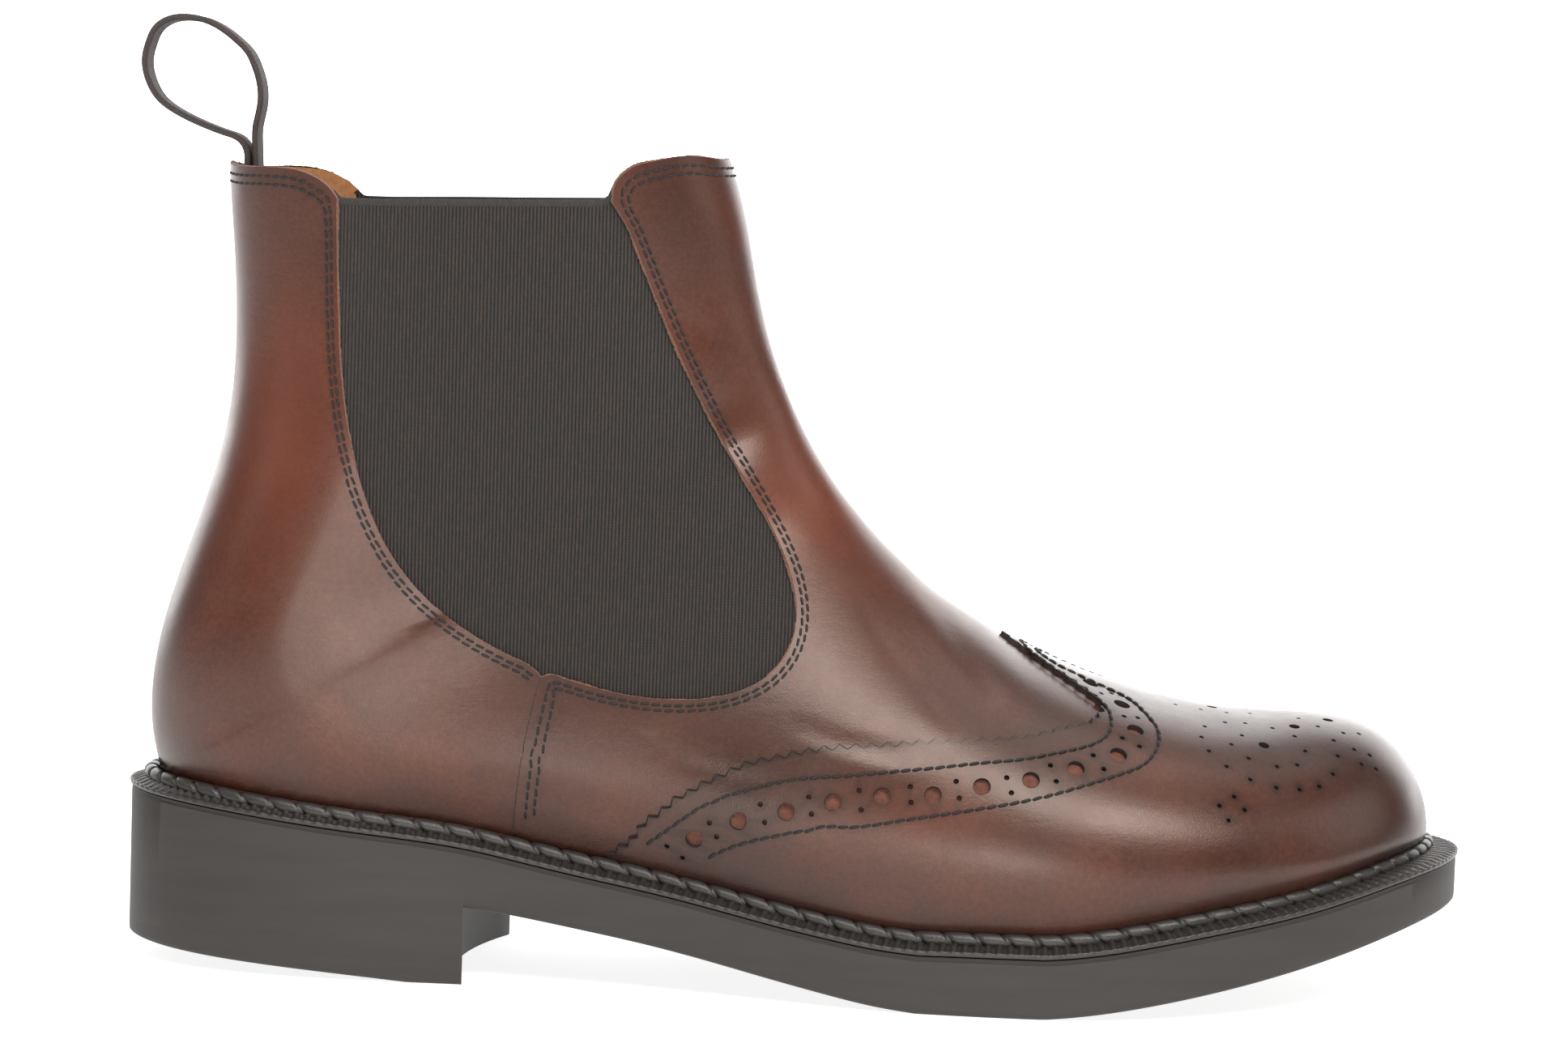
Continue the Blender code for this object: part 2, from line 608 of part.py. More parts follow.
def build_upper(group, cutters, mat):
    us = np.concatenate([
        [0.003, 0.010, 0.022, 0.038, 0.058, 0.082, 0.11],
        np.linspace(0.14, 0.60, 15),
        [0.625, 0.643, 0.657, 0.668, 0.677, 0.684, 0.689],
        np.linspace(0.689, 1.0, 10)[1:],
    ])
    vs = np.concatenate([-np.array(COLUMNS[:0:-1]), COLUMNS])
    rim = collar_u(vs)
    uu = np.repeat(us[:, None], len(vs), axis=1)
    lift = np.clip((us - 0.72) / 0.28, 0.0, 1.0)[:, None]
    uu = uu - lift * (1.0 - rim[None, :])
    outer = upper_grid(uu, vs, np.zeros(uu.shape), 2 * GAP)
    inner = upper_grid(uu, vs, np.full(uu.shape, -WALL), 2 * GAP)
    seam = int(np.argmax(spline(SECTIONS, us)[..., 1] > 0.9999))
    upper = shell("upper", outer, inner, group, mat, seam)
    for side, label in ((-1, "lateral"), (1, "medial")):
        low, high = (-0.09, -0.004) if side < 0 else (0.004, 0.09)
        cutter = prism("window_" + label, gore_outline(0.0), low, high, cutters)
        boolean(upper, cutter, "DIFFERENCE")
    return upper


def build_gore(side, label, group, cutters, mat):
    us = np.linspace(0.50, 1.0, 20)
    vs = np.linspace(0.06, 0.96, 18) * side
    if side < 0:
        vs = vs[::-1]
    rim = collar_u(vs)
    uu = np.repeat(us[:, None], len(vs), axis=1)
    lift = np.clip((us - 0.72) / 0.28, 0.0, 1.0)[:, None]
    uu = uu - lift * (1.0 - rim[None, :] + 0.006)
    vv = np.broadcast_to(vs, uu.shape)
    outer = skin_out(uu, vv, np.full(uu.shape, -0.0004))
    inner = skin_out(uu, vv, np.full(uu.shape, -0.0004 - GORE_THICKNESS))
    gore = shell("gore_" + label, outer, inner, group, mat)
    low, high = (-0.09, -0.004) if side < 0 else (0.004, 0.09)
    cutter = prism("cut_" + label, gore_outline(GAP), low, high, cutters)
    boolean(gore, cutter, "INTERSECT")
    return gore


def wing_foot(side, u):
    """Way from the ridge at which the cap ends, just above the welt."""
    end = skin(u, np.full(u.shape, float(side)))[..., 2] + 0.38 * WELT_HEIGHT
    low = np.full(u.shape, 0.3)
    high = np.ones(u.shape)
    for _ in range(30):
        mid = (low + high) / 2
        above = skin(u, side * mid)[..., 2] > end
        low = np.where(above, mid, low)
        high = np.where(above, high, mid)
    return (low + high) / 2


def build_wing(group, mat):
    ways = np.concatenate([-np.array(WING_COLUMNS[:0:-1]), WING_COLUMNS])
    reach = spline(WING, np.abs(ways))[..., 0]
    share = np.concatenate([[0.02, 0.05, 0.09, 0.135], np.linspace(0.19, 1.0, 11)])
    uu = share[:, None] * reach[None, :]
    foot = np.where(ways < 0, wing_foot(-1, uu), wing_foot(1, uu))
    vv = ways * foot
    outer = skin_out(uu, vv, np.full(uu.shape, 2 * GAP + CAP_THICKNESS))
    inner = skin_out(uu, vv, np.full(uu.shape, 2 * GAP))
    return shell("wing_cap", outer, inner, group, mat)


def build_insole(group, mat):
    lines = []
    for side, way in ring(30):
        w = np.array([way])
        point, _ = plan_edge(side, w, stand(w) + WALL + 2 * GAP)
        lines.append((point[0, 0], point[0, 1]))
    count = 30
    rows = []
    for i in range(count):
        a = lines[i]
        b = lines[0] if i == 0 else lines[i] if i == count - 1 else lines[-i]
        x = (a[0] + b[0]) / 2
        low = ledge(np.array([x]))[0] + 2 * GAP
        high = low + INSOLE_THICKNESS
        rows.append([(a[0], a[1], high), (b[0], b[1], high), (b[0], b[1], low), (a[0], a[1], low)])
    grid = np.array(rows)
    faces = grid_faces(count, 4, wrap=True)
    return mesh_object("insole", grid.reshape(-1, 3), faces, group, mat)


def build_loop(group, mat):
    """Tape from inside the collar back, up, over and down to the inside again."""
    top = spline(BACK_WAY, np.array([0.965]))[0]
    start = np.array([top[0] + WALL + GAP + LOOP_THICKNESS / 2, top[2]])
    path = np.array(LOOP) * LOOP_RISE
    line = spline(by_way(path), np.linspace(0.0, 1.0, 35)) + start
    run = np.gradient(line, axis=0)
    run = run / np.linalg.norm(run, axis=1)[:, None]
    left = np.stack([-run[:, 1], run[:, 0]], axis=1) * LOOP_THICKNESS / 2
    rows = []
    for p, n in zip(line, left):
        half = LOOP_WIDTH / 2
        a = p + n
        b = p - n
        rows.append([(a[0], -half, a[1]), (a[0], half, a[1]), (b[0], half, b[1]), (b[0], -half, b[1])])
    grid = np.array(rows)
    faces = grid_faces(len(rows), 4, wrap=True)
    last = (len(rows) - 1) * 4
    faces += [(3, 2, 1, 0), (last, last + 1, last + 2, last + 3)]
    return mesh_object("pull_loop", grid.reshape(-1, 3), faces, group, mat)


def centre(boot, cutters):
    """Move every object so that the origin is under the middle of the boot's length and
    width."""
    points = np.array([v.co[:2] for ob in boot.objects for v in ob.data.vertices])
    middle = (points.min(axis=0) + points.max(axis=0)) / 2
    for ob in list(boot.objects) + list(cutters.objects):
        ob.location = (-middle[0], -middle[1], 0.0)


def main():
    clear_file()
    boot = collection("brogued_boot")
    cutters = collection("cutters", hidden=True)
    rubber = material("rubber", (0.045, 0.045, 0.048), 0.75)
    welt_rubber = material("welt_rubber", (0.035, 0.034, 0.036), 0.7)
    leather = material("leather", (0.16, 0.055, 0.035), 0.4)
    cap = material("cap_leather", (0.14, 0.045, 0.03), 0.38)
    near_elastic = material("elastic_outer", (0.03, 0.027, 0.026), 0.85)
    far_elastic = material("elastic_inner", (0.032, 0.028, 0.027), 0.85)
    board = material("insole_sock", (0.35, 0.22, 0.12), 0.7)
    tape = material("tape", (0.06, 0.052, 0.048), 0.8)
    build_outsole(boot, rubber)
    build_welt(boot, welt_rubber)
    build_upper(boot, cutters, leather)
    build_wing(boot, cap)
    build_gore(-1, "lateral", boot, cutters, near_elastic)
    build_gore(1, "medial", boot, cutters, far_elastic)
    build_insole(boot, board)
    build_loop(boot, tape)
    centre(boot, cutters)


main()
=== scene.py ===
"""Dressed model of a brogued ankle boot with elastic gores, a right shoe, set in the frame of
its solids: toe along +X, outer side at -Y, +Z up, metres.

The shapes are worked out with the heel back at X = 0 and the floor at Z = 0, from the same
sizes as the solids, and every mesh is then moved by OFFSET into the frame.
"""

import math
from itertools import product

import bpy
import numpy as np
from mathutils import Matrix, Vector
from mathutils.geometry import delaunay_2d_cdt
from mathutils.kdtree import KDTree


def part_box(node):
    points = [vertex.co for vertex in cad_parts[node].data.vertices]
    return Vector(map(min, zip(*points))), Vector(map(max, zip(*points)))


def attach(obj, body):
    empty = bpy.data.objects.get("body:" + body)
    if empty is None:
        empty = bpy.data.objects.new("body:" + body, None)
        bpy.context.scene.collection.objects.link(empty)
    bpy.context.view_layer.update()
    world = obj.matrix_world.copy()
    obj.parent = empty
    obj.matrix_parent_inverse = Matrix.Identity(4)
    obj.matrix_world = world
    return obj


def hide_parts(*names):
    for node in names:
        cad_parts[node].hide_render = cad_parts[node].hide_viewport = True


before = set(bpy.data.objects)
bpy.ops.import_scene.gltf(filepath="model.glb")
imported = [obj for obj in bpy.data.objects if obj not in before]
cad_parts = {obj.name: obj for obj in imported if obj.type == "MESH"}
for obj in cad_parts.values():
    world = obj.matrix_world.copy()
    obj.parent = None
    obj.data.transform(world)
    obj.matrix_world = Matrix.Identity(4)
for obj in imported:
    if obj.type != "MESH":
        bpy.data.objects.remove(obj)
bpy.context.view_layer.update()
MM = 0.001

_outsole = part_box("outsole")
_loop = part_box("pull_loop")
OFFSET = np.array([_outsole[0][0], (_loop[0][1] + _loop[1][1]) / 2, 0.0])

# Driving dimensions
SOLE_LENGTH = 0.304
SOLE_WIDTH = 0.1055
SOLE_THICKNESS = 0.0122
HEEL_HEIGHT = 0.0172
HEEL_LIFT = 0.0050
TOE_SPRING = 0.0212
INSTEP_RISE = 0.0990
SHAFT_HEIGHT = 0.1850
WALL = 0.0020
GAP = 0.0003
WELT_HEIGHT = 0.0047
WELT_OVERHANG = 0.0004
LOOP_RISE = 0.0330
LOOP_WIDTH = 0.0110
LOOP_THICKNESS = 0.0014
HEEL_BREAST = 0.0818
# Where the leather meets the ledge behind the welt, as a share of WELT_HEIGHT
FOOT_SHARE = 0.93

# Plan of the sole from heel back to toe tip: x share of SOLE_LENGTH, y share of SOLE_WIDTH
OUTER_PLAN = [
    # x, y
    (0.000, 0.000), (0.015, -0.142), (0.052, -0.242), (0.124, -0.306), (0.243, -0.325),
    (0.361, -0.360), (0.476, -0.422), (0.575, -0.477), (0.657, -0.502), (0.730, -0.499),
    (0.805, -0.461), (0.871, -0.392), (0.927, -0.294), (0.968, -0.175), (0.993, -0.033),
    (1.000, 0.076),
]
INNER_PLAN = [
    # x, y
    (0.000, 0.000), (0.015, 0.142), (0.052, 0.242), (0.124, 0.301), (0.243, 0.313),
    (0.335, 0.301), (0.417, 0.301), (0.499, 0.334), (0.582, 0.396), (0.664, 0.460),
    (0.730, 0.488), (0.799, 0.486), (0.868, 0.451), (0.927, 0.384), (0.970, 0.289),
    (0.993, 0.190), (1.000, 0.076),
]
# Width of the welt outside the leather, along the same way round, in mm
WELT_STAND = [
    # way, width
    (-0.1, 5.5), (0.0, 6.2), (0.1, 5.5), (0.35, 6.5), (0.7, 7.3), (0.9, 8.2), (1.0, 8.8),
    (1.1, 8.2),
]

# Underside of the unit, heel block left out, by x share: height above the floor as shares
# of the heel height and of the toe spring
UNDERSIDE = [
    # x, share of HEEL_HEIGHT, share of TOE_SPRING
    (0.000, 1.02, 0.0), (0.180, 1.01, 0.0), (0.262, 1.00, 0.0), (0.300, 0.915, 0.0),
    (0.345, 0.790, 0.0), (0.390, 0.660, 0.0), (0.435, 0.505, 0.0), (0.480, 0.330, 0.0),
    (0.525, 0.165, 0.0), (0.560, 0.055, 0.0), (0.590, 0.0, 0.0), (0.680, 0.0, 0.0),
    (0.715, 0.0, 0.055), (0.760, 0.0, 0.165), (0.810, 0.0, 0.315), (0.862, 0.0, 0.495),
    (0.917, 0.0, 0.710), (0.970, 0.0, 0.915), (1.000, 0.0, 1.0),
]
# Thickness of the unit between underside and the ledge under the welt, heel block left out
THICKNESS = [
    # x, share of SOLE_THICKNESS
    (0.000, 1.72), (0.060, 1.62), (0.120, 1.46), (0.180, 1.28), (0.240, 1.11), (0.300, 1.00),
    (0.400, 0.96), (0.500, 0.99), (0.570, 1.04), (0.640, 1.07), (0.720, 1.07), (0.800, 1.06),
    (0.880, 0.97), (0.940, 0.92), (1.000, 0.80),
]

# Ridge of the upper from toe tip to collar front: x share of SOLE_LENGTH, rise (0 the ledge
# below, 1 the instep, 2 the collar) and y share of SOLE_WIDTH
RIDGE = [
    # x, rise, y
    (0.9656, 0.044, 0.076), (0.9656, 0.081, 0.076), (0.9630, 0.129, 0.075),
    (0.9523, 0.204, 0.074), (0.9287, 0.292, 0.071), (0.8992, 0.346, 0.067),
    (0.8532, 0.386, 0.059), (0.7937, 0.436, 0.049), (0.7302, 0.518, 0.038),
    (0.6696, 0.611, 0.028), (0.6180, 0.700, 0.020), (0.5705, 0.807, 0.014),
    (0.5291, 0.920, 0.008), (0.4954, 1.067, 0.004), (0.4700, 1.282, 0.002),
    (0.4527, 1.527, 0.001), (0.4406, 1.792, 0.0), (0.4238, 2.052, 0.0),
]
# Back seam from the foot to the collar: x share, rise (0 the foot line, 1 the full height)
BACK = [
    # x, rise
    (0.0228, 0.000), (0.0171, 0.052), (0.0155, 0.123), (0.0207, 0.207), (0.0332, 0.305),
    (0.0485, 0.403), (0.0622, 0.502), (0.0704, 0.600), (0.0725, 0.698), (0.0703, 0.810),
    (0.0664, 0.909), (0.0630, 1.010),
]
# Sections of the upper, toe tip to collar. ridge and foot are shares of the way along the
# ridge and along the foot line (1 to 2 is the back seam); outer and inner are the widest
# points as shares of SOLE_WIDTH, at is their place down the section, top, side and foot
# are the fullnesses of the curve.
SECTIONS = [
    # u, ridge, foot, outer, inner, at, top, side, low
    (0.000, 0.000, 0.000, 0.070, 0.082, 0.70, 0.56, 0.55, 0.50),
    (0.020, 0.025, 0.020, 0.012, 0.138, 0.74, 0.58, 0.52, 0.50),
    (0.056, 0.070, 0.055, -0.094, 0.229, 0.80, 0.62, 0.50, 0.45),
    (0.113, 0.140, 0.110, -0.218, 0.329, 0.82, 0.66, 0.46, 0.42),
    (0.188, 0.235, 0.180, -0.343, 0.406, 0.80, 0.68, 0.44, 0.42),
    (0.274, 0.335, 0.265, -0.430, 0.442, 0.78, 0.66, 0.44, 0.42),
    (0.363, 0.430, 0.360, -0.462, 0.436, 0.76, 0.60, 0.44, 0.42),
    (0.452, 0.515, 0.470, -0.430, 0.388, 0.75, 0.55, 0.46, 0.44),
    (0.528, 0.580, 0.590, -0.378, 0.335, 0.76, 0.53, 0.50, 0.47),
    (0.586, 0.632, 0.710, -0.335, 0.303, 0.77, 0.52, 0.53, 0.50),
    (0.633, 0.680, 0.840, -0.306, 0.291, 0.78, 0.52, 0.56, 0.52),
    (0.672, 0.731, 0.930, -0.296, 0.286, 0.765, 0.52, 0.58, 0.52),
    (0.689, 0.749, 1.000, -0.293, 0.284, 0.755, 0.52, 0.50, 0.52),
    (0.750, 0.800, 1.200, -0.287, 0.281, 0.735, 0.52, 0.54, 0.54),
    (0.840, 0.866, 1.490, -0.283, 0.281, 0.68, 0.53, 0.56, 0.57),
    (0.922, 0.934, 1.750, -0.289, 0.289, 0.60, 0.54, 0.55, 0.56),
    (1.000, 1.000, 2.000, -0.298, 0.298, 0.53, 0.55, 0.55, 0.56),
]
# Collar line, by share of the way round from ridge to back seam: drop below the full height
COLLAR = [
    # way, drop share of SHAFT_HEIGHT
    (0.000, 0.003), (0.075, 0.003), (0.178, 0.001), (0.247, 0.010), (0.267, 0.014),
    (0.286, 0.024), (0.298, 0.037), (0.307, 0.057), (0.400, 0.060), (0.600, 0.065),
    (0.654, 0.065), (0.666, 0.055), (0.685, 0.044), (0.714, 0.035), (0.755, 0.031),
    (0.887, 0.030), (1.000, 0.021),
]
# Outline of the elastic gore seen from the side: x share, share of SHAFT_HEIGHT
GORE = [
    # x, height
    (0.1450, 1.200), (0.1490, 0.990), (0.1507, 0.920), (0.1532, 0.786), (0.1572, 0.690),
    (0.1710, 0.604), (0.1876, 0.518), (0.2152, 0.457), (0.2513, 0.420), (0.2813, 0.398),
    (0.3293, 0.364), (0.3649, 0.352), (0.4063, 0.345), (0.4416, 0.348), (0.4766, 0.360),
    (0.4968, 0.377), (0.5068, 0.405), (0.5092, 0.437), (0.5037, 0.474), (0.4941, 0.511),
    (0.4783, 0.552), (0.4596, 0.595), (0.4283, 0.672), (0.4094, 0.730), (0.3968, 0.779),
    (0.3840, 0.837), (0.3686, 0.885), (0.3562, 0.928), (0.3460, 0.985), (0.3400, 1.200),
]
# Edge of the wing cap: how far u runs from the toe tip, by the way from ridge to foot line
WING = [
    # way, u
    (0.0000, 0.3975), (0.0148, 0.3925), (0.0252, 0.3840), (0.0450, 0.3640), (0.0692, 0.3430),
    (0.0904, 0.3270), (0.1107, 0.3150), (0.1327, 0.3080), (0.1634, 0.3084), (0.1906, 0.3157),
    (0.2099, 0.3235), (0.2282, 0.3374), (0.2561, 0.3572), (0.2895, 0.3839), (0.3130, 0.4076),
    (0.3342, 0.4306), (0.3531, 0.4512), (0.3730, 0.4695), (0.3905, 0.4862), (0.4078, 0.5017),
    (0.4259, 0.5150), (0.4469, 0.5262), (0.4648, 0.5358), (0.4847, 0.5420), (0.5102, 0.5481),
    (0.5868, 0.5530), (0.6976, 0.5554), (0.8657, 0.5549), (1.0000, 0.5571),
]
# Middle line of the pull loop: x and z as shares of LOOP_RISE, from the inside of the collar
LOOP = [
    # x, z
    (0.055, -0.300), (0.044, -0.080), (0.040, 0.050), (-0.010, 0.125), (-0.110, 0.165),
    (-0.215, 0.200), (-0.455, 0.306), (-0.567, 0.388), (-0.630, 0.485), (-0.667, 0.661),
    (-0.642, 0.770), (-0.600, 0.861), (-0.510, 0.925), (-0.358, 0.942), (-0.252, 0.921),
    (-0.145, 0.870), (-0.039, 0.791), (0.036, 0.715), (0.082, 0.624), (0.112, 0.536),
    (0.126, 0.376), (0.112, 0.291), (0.097, 0.209), (0.096, 0.124), (0.100, 0.045),
    (0.116, -0.300),
]


def spline(table, at):
    """Natural cubic curve through rows whose first column is the key."""
    rows = np.array(table, dtype=float)
    keys = rows[:, 0]
    vals = rows[:, 1:]
    count = len(keys)
    step = np.diff(keys)
    lhs = np.zeros((count, count))
    rhs = np.zeros((count, vals.shape[1]))
    lhs[0, 0] = 1.0
    lhs[-1, -1] = 1.0
    for i in range(1, count - 1):
        lhs[i, i - 1] = step[i - 1]
        lhs[i, i] = 2.0 * (step[i - 1] + step[i])
        lhs[i, i + 1] = step[i]
        rise = (vals[i + 1] - vals[i]) / step[i]
        rhs[i] = 6.0 * (rise - (vals[i] - vals[i - 1]) / step[i - 1])
    bend = np.linalg.solve(lhs, rhs)
    where = np.asarray(at, dtype=float)
    flat = where.ravel()
    i = np.clip(np.searchsorted(keys, flat, side="right") - 1, 0, count - 2)
    span = step[i][:, None]
    part = (flat - keys[i])[:, None]
    slope = (vals[i + 1] - vals[i]) / span - span * (2.0 * bend[i] + bend[i + 1]) / 6.0
    out = vals[i] + slope * part + bend[i] * part ** 2 / 2.0
    out = out + (bend[i + 1] - bend[i]) * part ** 3 / (6.0 * span)
    return out.reshape(where.shape + (vals.shape[1],))


def way_along(points):
    """Length along a line of points up to each of them."""
    steps = np.linalg.norm(np.diff(points, axis=0), axis=1)
    return np.concatenate([[0.0], np.cumsum(steps)])


def by_way(points):
    """Put the share of the way along in front of each row of points."""
    rows = np.array(points, dtype=float)
    way = way_along(rows)
    return np.column_stack([way / way[-1], rows])


def unit(rows):
    return rows / np.maximum(np.linalg.norm(rows, axis=-1), 1e-12)[..., None]


def bisect(low, high, steps, is_high):
    """Halves the span between low and high, and keeps the half that is_high points at."""
    for _ in range(steps):
        mid = (low + high) / 2
        over = is_high(mid)
        high = np.where(over, mid, high)
        low = np.where(over, low, mid)
    return (low + high) / 2


def round_plan(own, other):
    """One side of the sole outline by way; a point of the other side at both ends keeps
    the heel back and the toe tip round."""
    size = np.array([SOLE_LENGTH, SOLE_WIDTH])
    points = np.array([other[1]] + own + [other[-2]]) * size
    rows = by_way(points)
    start = rows[1, 0]
    rows[:, 0] = (rows[:, 0] - start) / (rows[-2, 0] - start)
    return rows


PLANS = {-1: round_plan(OUTER_PLAN, INNER_PLAN), 1: round_plan(INNER_PLAN, OUTER_PLAN)}


def plan_edge(side, way, inset):
    """Points of the sole outline on one side, moved in by a distance."""
    way = np.asarray(way, dtype=float)
    point = spline(PLANS[side], way)
    step = 1e-4
    run = spline(PLANS[side], way + step) - spline(PLANS[side], way - step)
    run = run / np.linalg.norm(run, axis=-1)[..., None]
    out = np.stack([-run[..., 1] * side, run[..., 0] * side], axis=-1)
    return point - out * np.asarray(inset)[..., None], out


def stand(way):
    return spline(WELT_STAND, way)[..., 0] * MM


def underside(x):
    """Height of the underside above the floor, the heel block left out."""
    share = spline(UNDERSIDE, np.clip(x / SOLE_LENGTH, 0, 1))
    low = share[..., 0] * HEEL_HEIGHT + share[..., 1] * TOE_SPRING
    flat = (x > 0.588 * SOLE_LENGTH) & (x < 0.682 * SOLE_LENGTH)
    return np.where(flat, 0.0, np.maximum(low, 0.0))


def ledge(x):
    """Height of the top of the sole unit, on which the welt lies."""
    thick = spline(THICKNESS, np.clip(x / SOLE_LENGTH, 0, 1))[..., 0] * SOLE_THICKNESS
    return underside(x) + thick


def heel_floor(x):
    """Underside of the heel block, level near the breast and lifted at the back."""
    start = 0.84 * HEEL_BREAST
    return np.maximum(start - x, 0.0) / start * HEEL_LIFT


def ridge_table():
    rows = np.array(RIDGE)
    x = rows[:, 0] * SOLE_LENGTH
    tip, _ = plan_edge(-1, np.array([1.0]), stand(np.array([1.0])))
    x = x + (tip[0, 0] - x[0])
    low = ledge(x) + np.minimum(rows[:, 1], 1.0) * INSTEP_RISE
    over = np.maximum(rows[:, 1] - 1.0, 0.0)
    z = low * (1.0 - over) + SHAFT_HEIGHT * over
    z[0] = ledge(x[:1])[0] + WELT_HEIGHT * FOOT_SHARE
    return by_way(np.column_stack([x, rows[:, 2] * SOLE_WIDTH, z]))


def back_table():
    rows = np.array(BACK)
    x = rows[:, 0] * SOLE_LENGTH
    heel, _ = plan_edge(-1, np.array([0.0]), stand(np.array([0.0])))
    x = x + (heel[0, 0] - x[0])
    foot = ledge(x[:1])[0] + WELT_HEIGHT * FOOT_SHARE
    z = foot + rows[:, 1] * (SHAFT_HEIGHT - foot)
    return by_way(np.column_stack([x, np.zeros(len(x)), z]))


RIDGE_WAY = ridge_table()
BACK_WAY = back_table()


def foot_line(side, foot):
    """Points of the foot line (0 toe tip, 1 heel back, 2 collar back), and end tangents."""
    foot = np.asarray(foot, dtype=float)
    way = np.clip(1.0 - foot, 0.0, 1.0)
    flat, out = plan_edge(side, way, stand(way))
    high = ledge(flat[..., 0]) + WELT_HEIGHT * FOOT_SHARE
    low = np.stack([flat[..., 0], flat[..., 1], high], axis=-1)
    up = spline(BACK_WAY, np.clip(foot - 1.0, 0.0, 1.0))
    point = np.where((foot > 1.0)[..., None], up, low)
    lean = 0.25 * np.sin(np.pi * np.clip(foot, 0.0, 0.5)) ** 0.5
    wall = np.stack([out[..., 0] * lean, out[..., 1] * lean, np.ones_like(foot)], axis=-1)
    along = np.stack([-out[..., 1], out[..., 0], np.zeros_like(foot)], axis=-1)
    return point, np.cross(along, wall)


def curve(p0, p1, p2, p3, t):
    t = np.asarray(t)[..., None]
    low = p0 * (1 - t) ** 3 + 3 * p1 * t * (1 - t) ** 2
    return low + 3 * p2 * t ** 2 * (1 - t) + p3 * t ** 3


def section_ends(u, side):
    """Ridge point, foot point, foot share and foot wall normal of the sections at u."""
    row = spline(SECTIONS, u)
    top = spline(RIDGE_WAY, np.clip(row[..., 0], 0.0, 1.0))
    foot = np.clip(row[..., 1], 0.0, 2.0)
    end, normal = foot_line(side, foot)
    span = end - top
    span[..., 1] = 0.0
    return row, top, end, foot, normal, span


def middle_table(side):
    """Way from the ridge to the widest point, for each row of SECTIONS."""
    keys = np.array(SECTIONS)[:, 0]
    row, _, _, _, _, span = section_ends(keys, side)
    return np.column_stack([keys, row[:, 4] * np.linalg.norm(span, axis=1)])


MIDDLE = {-1: middle_table(-1), 1: middle_table(1)}


def skin(u, v):
    """Outside of the upper: u from toe tip to collar, v from -1 outer foot line over the
    ridge (0) to 1 inner foot line."""
    u = np.asarray(u, dtype=float)
    v = np.asarray(v, dtype=float)
    result = np.zeros(u.shape + (3,))
    for side in (-1, 1):
        row, top, end, foot, normal, span = section_ends(u, side)
        length = np.maximum(np.linalg.norm(span, axis=-1), 1e-9)
        down = span / length[..., None]
        deep = np.clip(spline(MIDDLE[side], u)[..., 0], 0.3 * length, 0.96 * length)
        plane = np.cross(down, np.array([0.0, 1.0, 0.0]))
        tail = np.cross(normal, plane)
        tail = tail / np.maximum(np.linalg.norm(tail, axis=-1), 1e-9)[..., None]
        turn = np.clip((foot - 0.6) / 0.4, 0.0, 1.0)[..., None]
        seam = np.array([0.0, -1.0 * side, 0.0])
        aim = down * (1.0 - turn) + seam * turn
        tail = tail * np.where(np.sum(tail * aim, axis=-1) < 0, -1.0, 1.0)[..., None]
        tail = np.where((foot > 0.9999)[..., None], seam, tail)
        wide = (row[..., 2] if side < 0 else row[..., 3]) * SOLE_WIDTH
        mid = top + down * deep[..., None]
        mid[..., 1] = wide
        across = np.zeros_like(top)
        across[..., 1] = (wide - top[..., 1]) * row[..., 5]
        drop = down * (deep * row[..., 6])[..., None]
        low = down * ((length - deep) * row[..., 6])[..., None]
        fall = np.maximum(np.abs(np.sum(tail * down, axis=-1)), 1e-6)
        turn_in = np.maximum(np.abs(tail[..., 1]), 1e-6)
        reach = (length - deep) / fall
        close = np.maximum(np.abs(wide - end[..., 1]), 0.001) / turn_in
        pull = (reach ** -4.0 + close ** -4.0) ** -0.25 * row[..., 7]
        way = np.abs(v)
        head = curve(top, top + across, mid - drop, mid, np.clip(way * 2.0, 0, 1))
        rest = curve(mid, mid + low, end - tail * pull[..., None], end,
                     np.clip(way * 2.0 - 1.0, 0, 1))
        here = np.where((way < 0.5)[..., None], head, rest)
        pick = (v < 0) if side < 0 else (v >= 0)
        result = np.where(pick[..., None], here, result)
    return result


def skin_out(u, v, out):
    """The skin moved out along its normal by a distance; the sections at the very tip of
    the toe are too small to tell their own normal."""
    h = 1e-4
    u = np.asarray(u, dtype=float)
    v = np.asarray(v, dtype=float)
    near = np.maximum(u, 0.014)
    du = skin(np.minimum(near + h, 1.0), v) - skin(near - h, v)
    dv = skin(near, np.minimum(v + h, 1.0)) - skin(near, np.maximum(v - h, -1.0))
    normal = np.cross(dv, du)
    size = np.linalg.norm(normal, axis=-1)
    normal = normal / np.maximum(size, 1e-15)[..., None]
    return skin(u, v) + normal * np.asarray(out)[..., None]


def collar_u(v):
    """u of the collar line; the drop is worked out from the height of the skin."""
    rows = np.array(COLLAR)
    drop = np.interp(np.abs(v), rows[:, 0], rows[:, 1]) * SHAFT_HEIGHT
    level = SHAFT_HEIGHT - drop
    return bisect(np.full(v.shape, 0.75), np.ones(v.shape), 40,
                  lambda mid: skin(mid, v)[..., 2] > level)


def gore_outline():
    """Outline of the gore window in x and z."""
    way = by_way(np.array(GORE) * np.array([SOLE_LENGTH, SHAFT_HEIGHT]))
    return spline(way, np.linspace(0.0, 1.0, 46))


def wing_foot(side, u):
    """Way from the ridge at which the cap ends, just above the welt."""
    end = skin(u, np.full(u.shape, float(side)))[..., 2] + 0.38 * WELT_HEIGHT
    return bisect(np.full(u.shape, 0.3), np.ones(u.shape), 30,
                  lambda mid: skin(u, side * mid)[..., 2] <= end)


